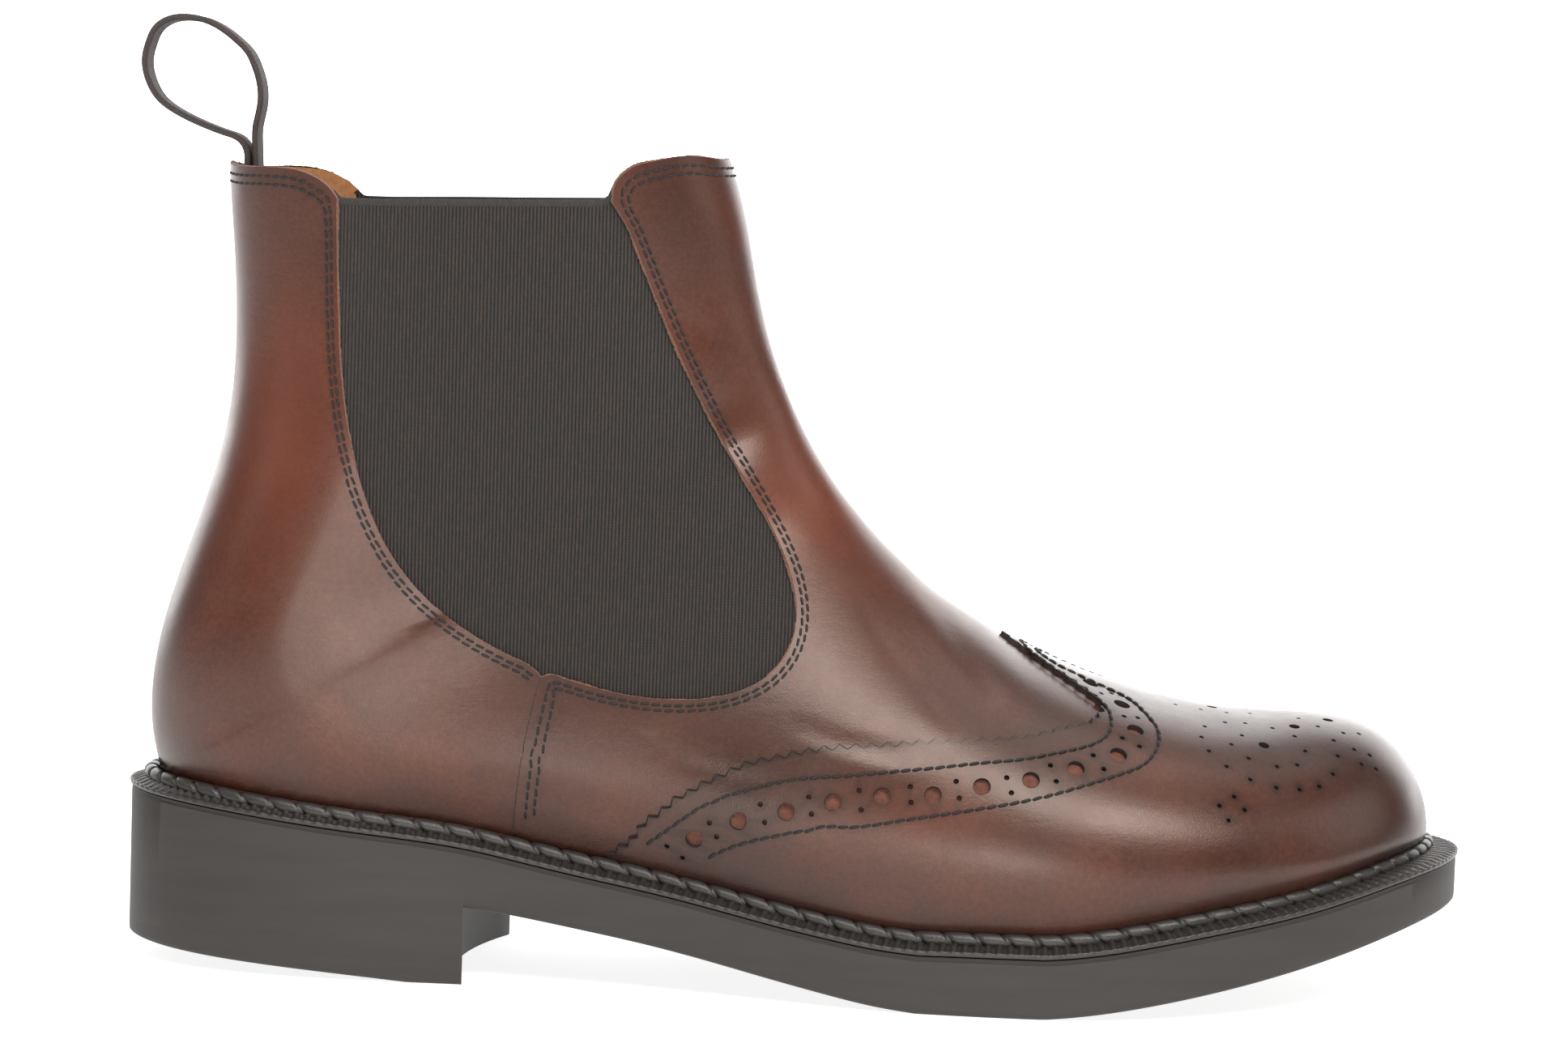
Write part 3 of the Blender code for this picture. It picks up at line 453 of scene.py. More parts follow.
def measure(uv):
    """Point, both side directions and the outward normal of the skin at rows of (u, v)."""
    u = np.clip(uv[:, 0], 0.002, 1.0)
    v = np.clip(uv[:, 1], -1.0, 1.0)
    h = 1e-4
    up = np.minimum(u + h, 1.0)
    un = np.maximum(u - h, 1e-4)
    vp = np.minimum(v + h, 1.0)
    vn = np.maximum(v - h, -1.0)
    du = (skin(up, v) - skin(un, v)) / (up - un)[:, None]
    dv = (skin(u, vp) - skin(u, vn)) / (vp - vn)[:, None]
    return skin(u, v), du, dv, unit(np.cross(dv, du))


def step_uv(uv, move):
    """Rows of (u, v) after a small move given in metres in space."""
    _, du, dv, _ = measure(uv)
    a = np.sum(du * du, axis=1)
    b = np.sum(du * dv, axis=1)
    c = np.sum(dv * dv, axis=1)
    det = np.maximum(a * c - b * b, 1e-16)
    p = np.sum(du * move, axis=1)
    q = np.sum(dv * move, axis=1)
    out = uv.copy()
    out[:, 0] = np.clip(uv[:, 0] + (c * p - b * q) / det, 0.002, 1.0)
    out[:, 1] = np.clip(uv[:, 1] + (a * q - b * p) / det, -1.0, 1.0)
    return out


def along(points, closed=False):
    """Directions of travel of a line of points."""
    if closed:
        return unit(np.roll(points, -1, axis=0) - np.roll(points, 1, axis=0))
    return unit(np.gradient(points, axis=0))


def shift_line(uv, left, closed=False, steps=None):
    """A line on the skin moved to its left, seen from outside, by a length in metres."""
    left = np.broadcast_to(np.asarray(left, dtype=float), (len(uv),))
    count = steps or max(1, int(np.abs(left).max() / 0.0015 + 0.5))
    line = uv.copy()
    for _ in range(count):
        point, _, _, normal = measure(line)
        side = np.cross(normal, along(point, closed))
        line = step_uv(line, side * (left / count)[:, None])
    return line


def resample(uv, pitch=None, count=None, closed=False):
    """Evenly spaced points along a line on the skin."""
    line = np.vstack([uv, uv[:1]]) if closed else uv
    point = skin(np.clip(line[:, 0], 0.002, 1), np.clip(line[:, 1], -1, 1))
    way = way_along(point)
    if count is None:
        count = max(2, int(round(way[-1] / pitch)) + (0 if closed else 1))
    at = np.linspace(0.0, way[-1], count + (1 if closed else 0))
    out = np.column_stack([np.interp(at, way, line[:, 0]), np.interp(at, way, line[:, 1])])
    return out[:-1] if closed else out


def length_of(uv):
    point = skin(uv[:, 0], uv[:, 1])
    return np.sum(np.linalg.norm(np.diff(point, axis=0), axis=1))


def tree_from(points):
    """Search tree over points, which gives back their places in the list."""
    tree = KDTree(len(points))
    for i, p in enumerate(points):
        tree.insert(p, i)
    tree.balance()
    return tree


def quads(rows, cols, closed=True, ring=False):
    """Four-sided faces of a grid of points given row by row. closed joins the last column to
    the first, ring the last row to the first."""
    faces = []
    for i in range(rows if ring else rows - 1):
        a, b = i * cols, (i + 1) % rows * cols
        for j in range(cols if closed else cols - 1):
            k = (j + 1) % cols
            faces.append((a + j, a + k, b + k, b + j))
    return faces


def circle(centre, radius, count):
    """A round outline on the skin."""
    uv = np.repeat(np.array([centre], dtype=float), count, axis=0)
    _, du, _, normal = measure(uv[:1])
    e1 = unit(du)
    e2 = np.cross(normal, e1)
    turn = np.linspace(0.0, 2 * np.pi, count, endpoint=False)[:, None]
    return step_uv(uv, (np.cos(turn) * e1 + np.sin(turn) * e2) * radius)


def side_uv(xz, side):
    """(u, v) of the skin where it is seen from the side at rows of (x, z)."""
    gu, gv = np.meshgrid(np.linspace(0.5, 1.0, 60), np.linspace(0.05, 1.0, 60), indexing="ij")
    grid = skin(gu.ravel(), gv.ravel() * side)
    tree = tree_from([(p[0], p[2], 0.0) for p in grid])
    near = [tree.find((x, z, 0.0))[1] for x, z in xz]
    uv = np.column_stack([gu.ravel()[near], gv.ravel()[near] * side])
    for _ in range(12):
        point, du, dv, _ = measure(uv)
        miss = np.array(xz) - point[:, [0, 2]]
        det = du[:, 0] * dv[:, 2] - du[:, 2] * dv[:, 0]
        det = np.where(np.abs(det) < 1e-9, 1e-9, det)
        a = (miss[:, 0] * dv[:, 2] - miss[:, 1] * dv[:, 0]) / det
        b = (du[:, 0] * miss[:, 1] - du[:, 2] * miss[:, 0]) / det
        uv[:, 0] = np.clip(uv[:, 0] + np.clip(a, -0.03, 0.03), 0.4, 1.0)
        uv[:, 1] = np.clip(uv[:, 1] + np.clip(b, -0.03, 0.03), -1.0, 1.0)
    return uv


def tint(verts):
    """How dark and how warm the leather is coloured, by place on the boot: darker in a band just
    above the ledge, burnished darker at the toe tip, the heel back and two patches.
    """
    x = verts[:, 0] / MM
    z = verts[:, 2] / MM
    over = (verts[:, 2] - ledge(verts[:, 0])) / MM
    dark = 0.85 * np.exp(-np.maximum(over - 3.0, 0.0) / 5.5)
    dark += 0.75 * np.clip((x - 266.0) / 34.0, 0.0, 1.0) ** 1.5
    dark += 0.35 * np.exp(-((x - 250) / 34.0) ** 2 - ((z - 74.0) / 12.0) ** 2)
    dark += 0.30 * np.exp(-((x - 122) / 26.0) ** 2 - ((z - 190.0) / 40.0) ** 2)
    dark += 0.25 * np.exp(-((x - 8) / 9.0) ** 2) * np.clip((z - 40) / 60.0, 0, 1)
    warm = 0.55 * np.exp(-((x - 34.0) / 12.0) ** 2 - ((z - 122.0) / 34.0) ** 2)
    warm += 0.40 * np.exp(-((x - 150.0) / 18.0) ** 2 - ((z - 112.0) / 22.0) ** 2)
    warm += 0.30 * np.exp(-((x - 182.0) / 20.0) ** 2 - ((z - 44.0) / 9.0) ** 2)
    return np.clip(dark, 0.0, 1.0), np.clip(warm, 0.0, 1.0)


def new_mesh(name, verts, faces, mats, slots=None, flat=False, burnt_and_shaded=None,
             normals=None):
    """Adds a piece that rides on the boot; verts are in the heel-based frame. slots gives
    each face its material; the darkening, burnishing and painted shade alike, and the normals
    belong to the first of the points."""
    mesh = bpy.data.meshes.new(name)
    mesh.from_pydata((np.asarray(verts) + OFFSET).tolist(), [], [tuple(f) for f in faces])
    for mat in mats:
        mesh.materials.append(mat)
    if slots is not None:
        mesh.polygons.foreach_set("material_index", np.asarray(slots, dtype=np.int32))
    mesh.polygons.foreach_set("use_smooth", np.full(len(mesh.polygons), not flat))
    dark, warm = tint(np.asarray(verts))
    if burnt_and_shaded is not None:
        dark[:len(burnt_and_shaded)] = np.maximum(dark[:len(burnt_and_shaded)], burnt_and_shaded)
    for label, values in (("burnish_and_painted_shade", dark), ("warmth", warm)):
        layer = mesh.attributes.new(label, "FLOAT", "POINT")
        layer.data.foreach_set("value", values.astype(np.float32))
    mesh.update()
    if normals is not None:
        corner = np.zeros(len(mesh.loops), dtype=np.int32)
        mesh.loops.foreach_get("vertex_index", corner)
        known = np.zeros((len(verts), 3))
        known[:len(normals)] = normals
        mesh.normals_split_custom_set(known[corner].tolist())
    ob = bpy.data.objects.new(name, mesh)
    bpy.context.scene.collection.objects.link(ob)
    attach(ob, "root")
    return ob


# How far the rim of a punched hole lies below the leather's face
HOLE_DROP = 0.0001
# Metres for each unit of u and of v, about, for work in the plane of (u, v)
SCALE = np.array([0.30, 0.075])


def inside(points, loop):
    """Which of the points in the plane lie inside a closed outline."""
    x = points[:, 0][:, None]
    y = points[:, 1][:, None]
    x0, y0 = loop[:, 0], loop[:, 1]
    x1, y1 = np.roll(x0, -1), np.roll(y0, -1)
    result = np.zeros(len(points), dtype=bool)
    for start in range(0, len(points), 4000):
        px = x[start:start + 4000]
        py = y[start:start + 4000]
        crosses = (y0 > py) != (y1 > py)
        at = x0 + (py - y0) * (x1 - x0) / np.where(y1 == y0, 1e-12, y1 - y0)
        result[start:start + 4000] = np.sum(crosses & (px < at), axis=1) % 2 == 1
    return result


def scatter(low, high, pitch):
    """Points of (u, v) about evenly spread over the skin between two values of u."""
    us = np.arange(low, high, pitch / SCALE[0])
    vs = np.linspace(-1.0, 1.0, 241)
    cells = {}
    kept = []
    for i, u in enumerate(us):
        point = skin(np.full(vs.shape, u), vs)
        way = way_along(point)
        at = np.arange((0.5 if i % 2 else 0.0) * pitch, way[-1], pitch)
        v = np.interp(at, way, vs)
        p = skin(np.full(v.shape, u), v)
        for a, b in zip(v, p):
            key = tuple((b // pitch).astype(int))
            near = [c for move in product((-1, 0, 1), repeat=3)
                    for c in cells.get(tuple(k + m for k, m in zip(key, move)), ())]
            if all(np.sum((c - b) ** 2) >= (0.72 * pitch) ** 2 for c in near):
                cells.setdefault(key, []).append(b)
                kept.append((u, a))
    return np.array(kept)


def cut_sheet(loop, holes, lines, pitch):
    """Triangles of a sheet on the skin. loop and holes are closed rows of (u, v), lines are
    rows of (u, v) that the sheet keeps. Returns (u, v) of its points, triangles, and the
    indices of the points of the loop, the holes and the lines."""
    groups = [loop] + list(holes)
    fixed = np.vstack(groups + list(lines))
    edges = []
    marks = []
    start = 0
    for place, line in enumerate(groups + list(lines)):
        n = len(line)
        last = n if place < len(groups) else n - 1
        edges += [(start + i, start + (i + 1) % n) for i in range(last)]
        marks.append(np.arange(start, start + n))
        start += n
    loose = scatter(loop[:, 0].min(), loop[:, 0].max(), pitch)
    tree = tree_from(skin(fixed[:, 0], fixed[:, 1]))
    spot = skin(loose[:, 0], loose[:, 1])
    free = np.array([tree.find(p)[2] > 0.55 * pitch for p in spot])
    loose = loose[free]
    keep = inside(loose * SCALE, groups[0] * SCALE)
    for hole in groups[1:]:
        keep &= ~inside(loose * SCALE, hole * SCALE)
    points = np.vstack([fixed, loose[keep]])
    plane = [Vector(p) for p in (points * SCALE)[:, ::-1].tolist()]
    got = delaunay_2d_cdt(plane, edges, [], 0, 1e-9, True)
    out = np.array([(p[1], p[0]) for p in got[0]]) / SCALE
    where = {k: i for i, origin in enumerate(got[3]) for k in origin}
    faces = np.array([f for f in got[2] if len(f) == 3])
    centre = out[faces].mean(axis=1) * SCALE
    good = inside(centre, groups[0] * SCALE)
    for hole in groups[1:]:
        flat = hole * SCALE
        near = np.all((centre > flat.min(axis=0)) & (centre < flat.max(axis=0)), axis=1)
        index = np.nonzero(near & good)[0]
        if len(index):
            good[index[inside(centre[index], hole * SCALE)]] = False
    faces = faces[good]
    return out, faces, [np.array([where[k] for k in mark]) for mark in marks]


def build_sheet(name, loop, holes, lines, drops, height, thick, mats,
                pitch=0.0016, edge_drop=0.00015, back=None, edge_burnish_and_shade=0.5):
    """A sheet on the skin. height is how far its face lies above the skin, drops gives each
    line its depth below that face, mats are the face, the cut edge and the back. back is
    the depth of the lining face, or None for no back."""
    uv, faces, marks = cut_sheet(loop, holes, lines, pitch)
    count_groups = 1 + len(holes)
    lift = height(uv)
    burnt_and_shaded = np.zeros(len(uv))
    for mark, drop in zip(marks[count_groups:], drops):
        lift[mark] -= drop
        # Painted shade: each stitch row is darkened to stand for the trough under its thread,
        # which the face normals leave out.
        burnt_and_shaded[mark] = min(drop * 1400.0, 0.45)
    burnt_and_shaded[marks[0]] = edge_burnish_and_shade
    lift[marks[0]] -= edge_drop
    for mark in marks[1:count_groups]:
        lift[mark] -= HOLE_DROP
        burnt_and_shaded[mark] = 0.8
    _, _, _, normal = measure(uv)
    near = skin(np.maximum(uv[:, 0], 0.002), uv[:, 1])
    top = near + normal * lift[:, None]
    used = np.cross(top[faces[:, 1]] - top[faces[:, 0]], top[faces[:, 2]] - top[faces[:, 0]])
    flip = np.sum(used * normal[faces[:, 0]], axis=1) < 0
    faces = np.where(flip[:, None], faces[:, ::-1], faces)
    verts = [top]
    all_faces = [tuple(f) for f in faces]
    slots = [0] * len(faces)
    size = len(top)
    for mark in marks[:count_groups]:
        n = len(mark)
        verts += [top[mark], near[mark] + normal[mark] * (lift[mark] - thick)[:, None]]
        all_faces += [tuple(size + q for q in face) for face in quads(2, n)]
        slots += [1] * n
        size += 2 * n
    if back is not None:
        low = near + normal * back
        verts.append(low)
        all_faces += [tuple(size + f[::-1]) for f in faces]
        slots += [2] * len(faces)
    return new_mesh(name, np.vstack(verts), all_faces, mats, slots, burnt_and_shaded=burnt_and_shaded,
                    normals=face_normals(uv, height, normal))


def face_normals(uv, height, normal):
    """Normals of a panel's face, tilted by the slope of its height above the skin."""
    step = 0.0003
    _, du, _, _ = measure(uv)
    e1 = unit(du)
    e2 = np.cross(normal, e1)
    out = normal.copy()
    for way in (e1, e2):
        plus = height(step_uv(uv, way * step))
        minus = height(step_uv(uv, -way * step))
        slope = np.clip((plus - minus) / (2 * step), -0.5, 0.5)
        out = out - way * slope[:, None]
    return unit(out)


def stitches(name, lines, height, share, radius, pitch=0.0025, lean=0.10):
    """Rows of thread: each stitch is a small rounded bar whose ends dive into the leather."""
    shape = [(-0.5, 0.35, -0.9), (-0.42, 0.8, -0.1), (-0.2, 1.0, 0.42), (0.2, 1.0, 0.42),
             (0.42, 0.8, -0.1), (0.5, 0.35, -0.9)]
    sides = 6
    verts = []
    faces = []
    for line in lines:
        count = max(1, int(length_of(line) / pitch))
        even = resample(line, count=2 * count + 1)
        points, _, _, normal = measure(even)
        points = points + normal * height(even)[:, None]
        run = along(points)
        for k in range(1, len(points), 2):
            centre = points[k]
            t = run[k]
            n = normal[k]
            b = np.cross(n, t)
            t = unit((t + b * lean)[None])[0]
            b = np.cross(n, t)
            span = np.linalg.norm(points[min(k + 1, len(points) - 1)] - points[k - 1]) * share
            base = len(verts)
            for x, r, z in shape:
                mid = centre + t * span * x + n * radius * z
                for j in range(sides):
                    a = 2 * np.pi * j / sides
                    verts.append(mid + (b * math.cos(a) + n * math.sin(a)) * radius * r)
            faces += [tuple(base + q for q in face) for face in quads(len(shape), sides)]
            faces.append(tuple(base + j for j in range(sides))[::-1])
            last = base + (len(shape) - 1) * sides
            faces.append(tuple(last + j for j in range(sides)))
    return new_mesh(name, verts, faces, [THREAD])


def fill(node, values):
    """Sets the plain values of a node's inputs by name."""
    for name, value in values.items():
        node.inputs[name].default_value = value
    return node


def start_material(name):
    """A new material with its tree, shader and object coordinates."""
    mat = bpy.data.materials.new(name)
    mat.use_nodes = True
    tree = mat.node_tree
    return mat, tree, tree.nodes["Principled BSDF"], tree.nodes.new("ShaderNodeTexCoord")


def link(tree, a, out, b, inp):
    tree.links.new(a.outputs[out], b.inputs[inp])


def noise(tree, coord, scale, detail=4.0, rough=0.55, stretch=None):
    """Noise in object coordinates; scale is per metre."""
    node = fill(tree.nodes.new("ShaderNodeTexNoise"),
                {"Scale": scale, "Detail": detail, "Roughness": rough})
    source, out = coord, "Object"
    if stretch:
        source, out = fill(tree.nodes.new("ShaderNodeMapping"), {"Scale": stretch}), "Vector"
        link(tree, coord, "Object", source, "Vector")
    link(tree, source, out, node, "Vector")
    return node


def ramp(tree, node, out, stops):
    """A colour ramp over a value: stops are (place, colour)."""
    item = tree.nodes.new("ShaderNodeValToRGB")
    ends = item.color_ramp.elements
    for element, (place, colour) in ((ends[0], stops[0]), (ends[1], stops[-1])):
        element.position = place
        element.color = (*colour, 1.0)
    for place, colour in stops[1:-1]:
        ends.new(place).color = (*colour, 1.0)
    link(tree, node, out, item, "Fac")
    return item


def grey(value):
    return (value, value, value)


def mix_colour(tree, factor, a, b, kind="MIX"):
    """Mixes two colours; factor, a and b are (node, socket) or plain values."""
    node = tree.nodes.new("ShaderNodeMix")
    node.data_type = "RGBA"
    node.blend_type = kind
    for value, place in ((factor, 0), (a, 6), (b, 7)):
        if isinstance(value, tuple) and hasattr(value[0], "outputs"):
            link(tree, *value, node, place)
        elif place == 0:
            node.inputs[0].default_value = value
        else:
            node.inputs[place].default_value = (*value, 1.0)
    return node, 2


def bump(tree, bsdf, layers):
    """Stacked bumps: layers are (node, socket, strength, distance in metres)."""
    last = None
    for node, out, strength, distance in layers:
        item = fill(tree.nodes.new("ShaderNodeBump"),
                    {"Strength": strength, "Distance": distance})
        link(tree, node, out, item, "Height")
        if last:
            link(tree, last, "Normal", item, "Normal")
        last = item
    link(tree, last, "Normal", bsdf, "Normal")


def leather(name, red, mid, dark, rough=0.34, coat=0.25):
    """Polished leather: warm patches over a dark brown base, fine grain and soft creases."""
    mat, tree, bsdf, coord = start_material(name)
    cloud = noise(tree, coord, 22.0, 3.0, 0.5)
    tone = ramp(tree, cloud, "Fac", [(0.30, dark), (0.52, mid), (0.72, red)])
    fine = noise(tree, coord, 900.0, 3.0, 0.6)
    speck = ramp(tree, fine, "Fac", [(0.35, grey(0.80)), (0.65, grey(1.16))])
    shown = mix_colour(tree, 1.0, (tone, "Color"), (speck, "Color"), "MULTIPLY")
    # The darkening attribute pulls the colour towards a dark brown, for burnished places and for
    # painted shade in stitch troughs and along the wing edge; warmth reddens it.
    for label, colour, share in (("burnish_and_painted_shade", mid, 0.22), ("warmth", red, 1.5)):
        layer = tree.nodes.new("ShaderNodeAttribute")
        layer.attribute_name = label
        shown = mix_colour(tree, (layer, "Fac"), shown, tuple(c * share for c in colour))
    link(tree, *shown, bsdf, "Base Color")
    wear = noise(tree, coord, 60.0, 5.0, 0.65)
    gloss = ramp(tree, wear, "Fac", [(0.3, grey(rough * 0.86)), (0.7, grey(rough * 1.22))])
    link(tree, gloss, "Color", bsdf, "Roughness")
    fill(bsdf, {"Specular IOR Level": 0.42, "Specular Tint": (1.0, 0.88, 0.80, 1.0),
                "Coat Weight": coat, "Coat Roughness": 0.27})
    grain = fill(tree.nodes.new("ShaderNodeTexVoronoi"), {"Scale": 1500.0})
    grain.feature = "DISTANCE_TO_EDGE"
    link(tree, coord, "Object", grain, "Vector")
    pores = noise(tree, coord, 2400.0, 2.0, 0.6)
    crease = noise(tree, coord, 150.0, 4.0, 0.6, (1.0, 1.0, 3.0))
    bump(tree, bsdf, [(crease, "Fac", 0.10, 0.0006), (grain, "Distance", 0.22, 0.00012),
                      (pores, "Fac", 0.30, 0.00010)])
    return mat


def plain(name, colour, rough, scale=300.0, spread=0.25, bumps=0.3, depth=0.0002, stretch=None,
          sheen=0.0):
    """A mottled matte or satin material with a fine uneven surface."""
    mat, tree, bsdf, coord = start_material(name)
    cloud = noise(tree, coord, scale, 5.0, 0.6, stretch)
    low = tuple(c * (1 - spread) for c in colour)
    high = tuple(c * (1 + spread) for c in colour)
    tone = ramp(tree, cloud, "Fac", [(0.3, low), (0.7, high)])
    link(tree, tone, "Color", bsdf, "Base Color")
    fill(bsdf, {"Roughness": rough, "Specular IOR Level": 0.5})
    if sheen:
        fill(bsdf, {"Sheen Weight": sheen, "Sheen Roughness": 0.5})
    fine = noise(tree, coord, scale * 6.0, 3.0, 0.6)
    bump(tree, bsdf, [(cloud, "Fac", bumps * 0.6, depth * 2), (fine, "Fac", bumps, depth)])
    return mat


LEATHER = leather("polished_leather", (0.098, 0.0255, 0.0125), (0.056, 0.0160, 0.0090),
                  (0.030, 0.0115, 0.0080))
CAP_LEATHER = leather("cap_leather", (0.078, 0.022, 0.012), (0.045, 0.0145, 0.0090),
                      (0.026, 0.0105, 0.0080))
# Dark colour of the leather's cut edges, also used for the painted shadow ribbons beside the side
# seams.
CUT_EDGE_AND_SHADOW = plain("cut_edge_and_painted_shadow", (0.020, 0.010, 0.008), 0.75, 900.0)
# Colour of the painted shadow ribbon beside the pinked wing edge.
EDGE_SHADOW = plain("edge_shadow", (0.012, 0.005, 0.004), 0.8, 900.0)
RAW_EDGE = plain("raw_edge", (0.15, 0.055, 0.028), 0.92, 1500.0, 0.4, 0.8, 0.0003, sheen=0.3)
LINING = plain("suede_lining", (0.34, 0.155, 0.055), 0.95, 700.0, 0.22, 0.6, 0.0003, sheen=0.4)
UNDER = plain("under_hole", (0.135, 0.052, 0.034), 0.85, 800.0, 0.3, 0.6, 0.0003)
THREAD = plain("thread", (0.0072, 0.0060, 0.0066), 0.65, 2500.0, 0.35, 0.7, 0.0001,
               stretch=(1.0, 1.0, 2.0))
RUBBER = plain("sole_rubber_look", (0.0235, 0.0208, 0.0192), 0.62, 90.0, 0.16, 0.25, 0.0002,
               stretch=(0.25, 0.25, 3.0))
WELT_RUBBER = plain("welt_rubber_look", (0.022, 0.0205, 0.0195), 0.36, 500.0, 0.2, 0.35, 0.0002)
SOCK = plain("sock_leather", (0.30, 0.17, 0.085), 0.7, 500.0, 0.15, 0.4, 0.0002)


# Top edges of the quarter and the vamp by (u, way), from the gore window on
REAR_TOP = np.array([
    (0.9663, 0.656), (0.9708, 0.666), (0.9762, 0.685), (0.9807, 0.714), (0.9831, 0.755),
    (0.9848, 0.887), (0.9870, 1.0),
])
FRONT_TOP = np.array([
    (0.9485, 0.302), (0.9628, 0.298), (0.9711, 0.286), (0.9775, 0.267), (0.9800, 0.247),
    (0.9852, 0.178), (0.9810, 0.075), (0.9805, 0.0),
])
# Holes of the wing by (u, way): along the band, in pairs between, and the toe medallion
BAND_HOLES = [
    (0.314, 0.066), (0.289, 0.110), (0.283, 0.181), (0.302, 0.251), (0.338, 0.298),
    (0.373, 0.337), (0.408, 0.369), (0.439, 0.403), (0.468, 0.426), (0.491, 0.454),
    (0.509, 0.484), (0.525, 0.544), (0.536, 0.700), (0.541, 0.900),
]
PAIR_HOLES = [
    (0.306, 0.094), (0.290, 0.149), (0.296, 0.210), (0.323, 0.264), (0.358, 0.303),
    (0.391, 0.344), (0.426, 0.373), (0.454, 0.401), (0.481, 0.428), (0.503, 0.457),
    (0.521, 0.485), (0.535, 0.586), (0.543, 0.796), (0.296, 0.080), (0.278, 0.142),
    (0.283, 0.222), (0.316, 0.288), (0.354, 0.329), (0.387, 0.366), (0.422, 0.396),
    (0.451, 0.422), (0.476, 0.452), (0.498, 0.477), (0.515, 0.515), (0.529, 0.647),
    (0.535, 0.851),
]
TOE_LARGE = [(0.2066, 0.008), (0.1802, 0.1742), (0.1506, 0.0963), (0.1231, 0.0478)]
TOE_SMALL = [
    (0.2384, 0.0431), (0.2179, 0.0425), (0.2214, 0.1242), (0.2278, 0.1645), (0.2261, 0.2053),
    (0.2163, 0.2455), (0.1972, 0.0387), (0.2028, 0.0950), (0.1868, 0.0893), (0.1940, 0.1429),
    (0.2055, 0.1778), (0.1964, 0.2184), (0.2016, 0.2788), (0.1787, 0.0270), (0.1675, 0.1054),
    (0.1770, 0.2414), (0.1838, 0.3013), (0.1443, 0.0483), (0.1539, 0.1399), (0.1507, 0.1950),
    (0.1610, 0.2381), (0.1662, 0.3087), (0.1501, 0.3047), (0.1332, 0.0948), (0.1260, 0.1576),
    (0.1273, 0.2165), (0.1360, 0.2735), (0.1160, 0.1196), (0.1124, 0.1895), (0.1006, 0.2040),
    (0.1101, 0.2441), (0.0981, 0.2565), (0.1034, 0.1072), (0.2189, 0.3237), (0.2325, 0.3458),
    (0.2142, 0.3563), (0.2292, 0.3809),
]
# Rows of stitches on the wing by (u, way): near its edge, and inside the band of holes
ROW_A = np.array([
    (0.321, 0.104), (0.306, 0.129), (0.302, 0.160), (0.304, 0.191), (0.312, 0.221),
    (0.333, 0.255), (0.359, 0.284), (0.383, 0.309), (0.407, 0.330), (0.439, 0.361),
    (0.467, 0.389), (0.491, 0.416), (0.508, 0.435), (0.523, 0.459), (0.533, 0.481),
    (0.541, 0.516), (0.546, 0.638), (0.550, 0.839), (0.552, 0.980),
])
ROW_B = np.array([
    (0.3640, 0.0), (0.362, 0.014), (0.350, 0.036), (0.322, 0.050), (0.301, 0.060),
    (0.283, 0.076), (0.270, 0.118), (0.264, 0.154), (0.264, 0.189), (0.270, 0.224),
    (0.282, 0.261), (0.299, 0.287), (0.320, 0.312), (0.369, 0.366), (0.404, 0.400),
    (0.433, 0.429), (0.458, 0.456), (0.480, 0.481), (0.496, 0.500), (0.510, 0.576),
    (0.520, 0.667), (0.527, 0.808), (0.532, 0.953),
])


def sided(rows, side):
    """Rows of (u, way) on one side of the boot: -1 the outer side, 1 the inner."""
    out = np.array(rows, dtype=float)
    out[:, 1] *= side
    return out


def smooth_line(uv, pitch):
    """The line through a few rows, bent smoothly and evenly spaced."""
    point = skin(uv[:, 0], uv[:, 1])
    way = way_along(point)
    table = np.column_stack([way, uv])
    at = np.linspace(0.0, way[-1], max(3, int(way[-1] / pitch) + 1))
    return spline(table, at)


def joined(*parts):
    """Lines put end to end, without doubled points."""
    out = [parts[0]]
    for part in parts[1:]:
        out.append(part[1:] if np.allclose(part[0], out[-1][-1], atol=2e-3) else part)
    return np.vstack(out)


def both_sides(half):
    """A line from the outer foot line over the ridge to the inner one; half runs from the
    ridge down and its first way is 0."""
    return np.vstack([sided(half, -1)[::-1], sided(half, 1)[1:]])


_ways = np.linspace(0.0, 1.0, 161)
_reach = spline(WING, _ways)[..., 0]
_half = np.column_stack([_reach, _ways * wing_foot(-1, _reach)])
_half = np.vstack([_half, [[_half[-1, 0], 1.0]]])
WING_LINE = resample(both_sides(_half), pitch=0.0005)

# Side seam between quarter and vamp, from the gore down: x and z in mm
SEAM = [(94.3, 69.0), (92.2, 60.0), (90.6, 50.0), (89.6, 41.0), (89.0, 34.0)]


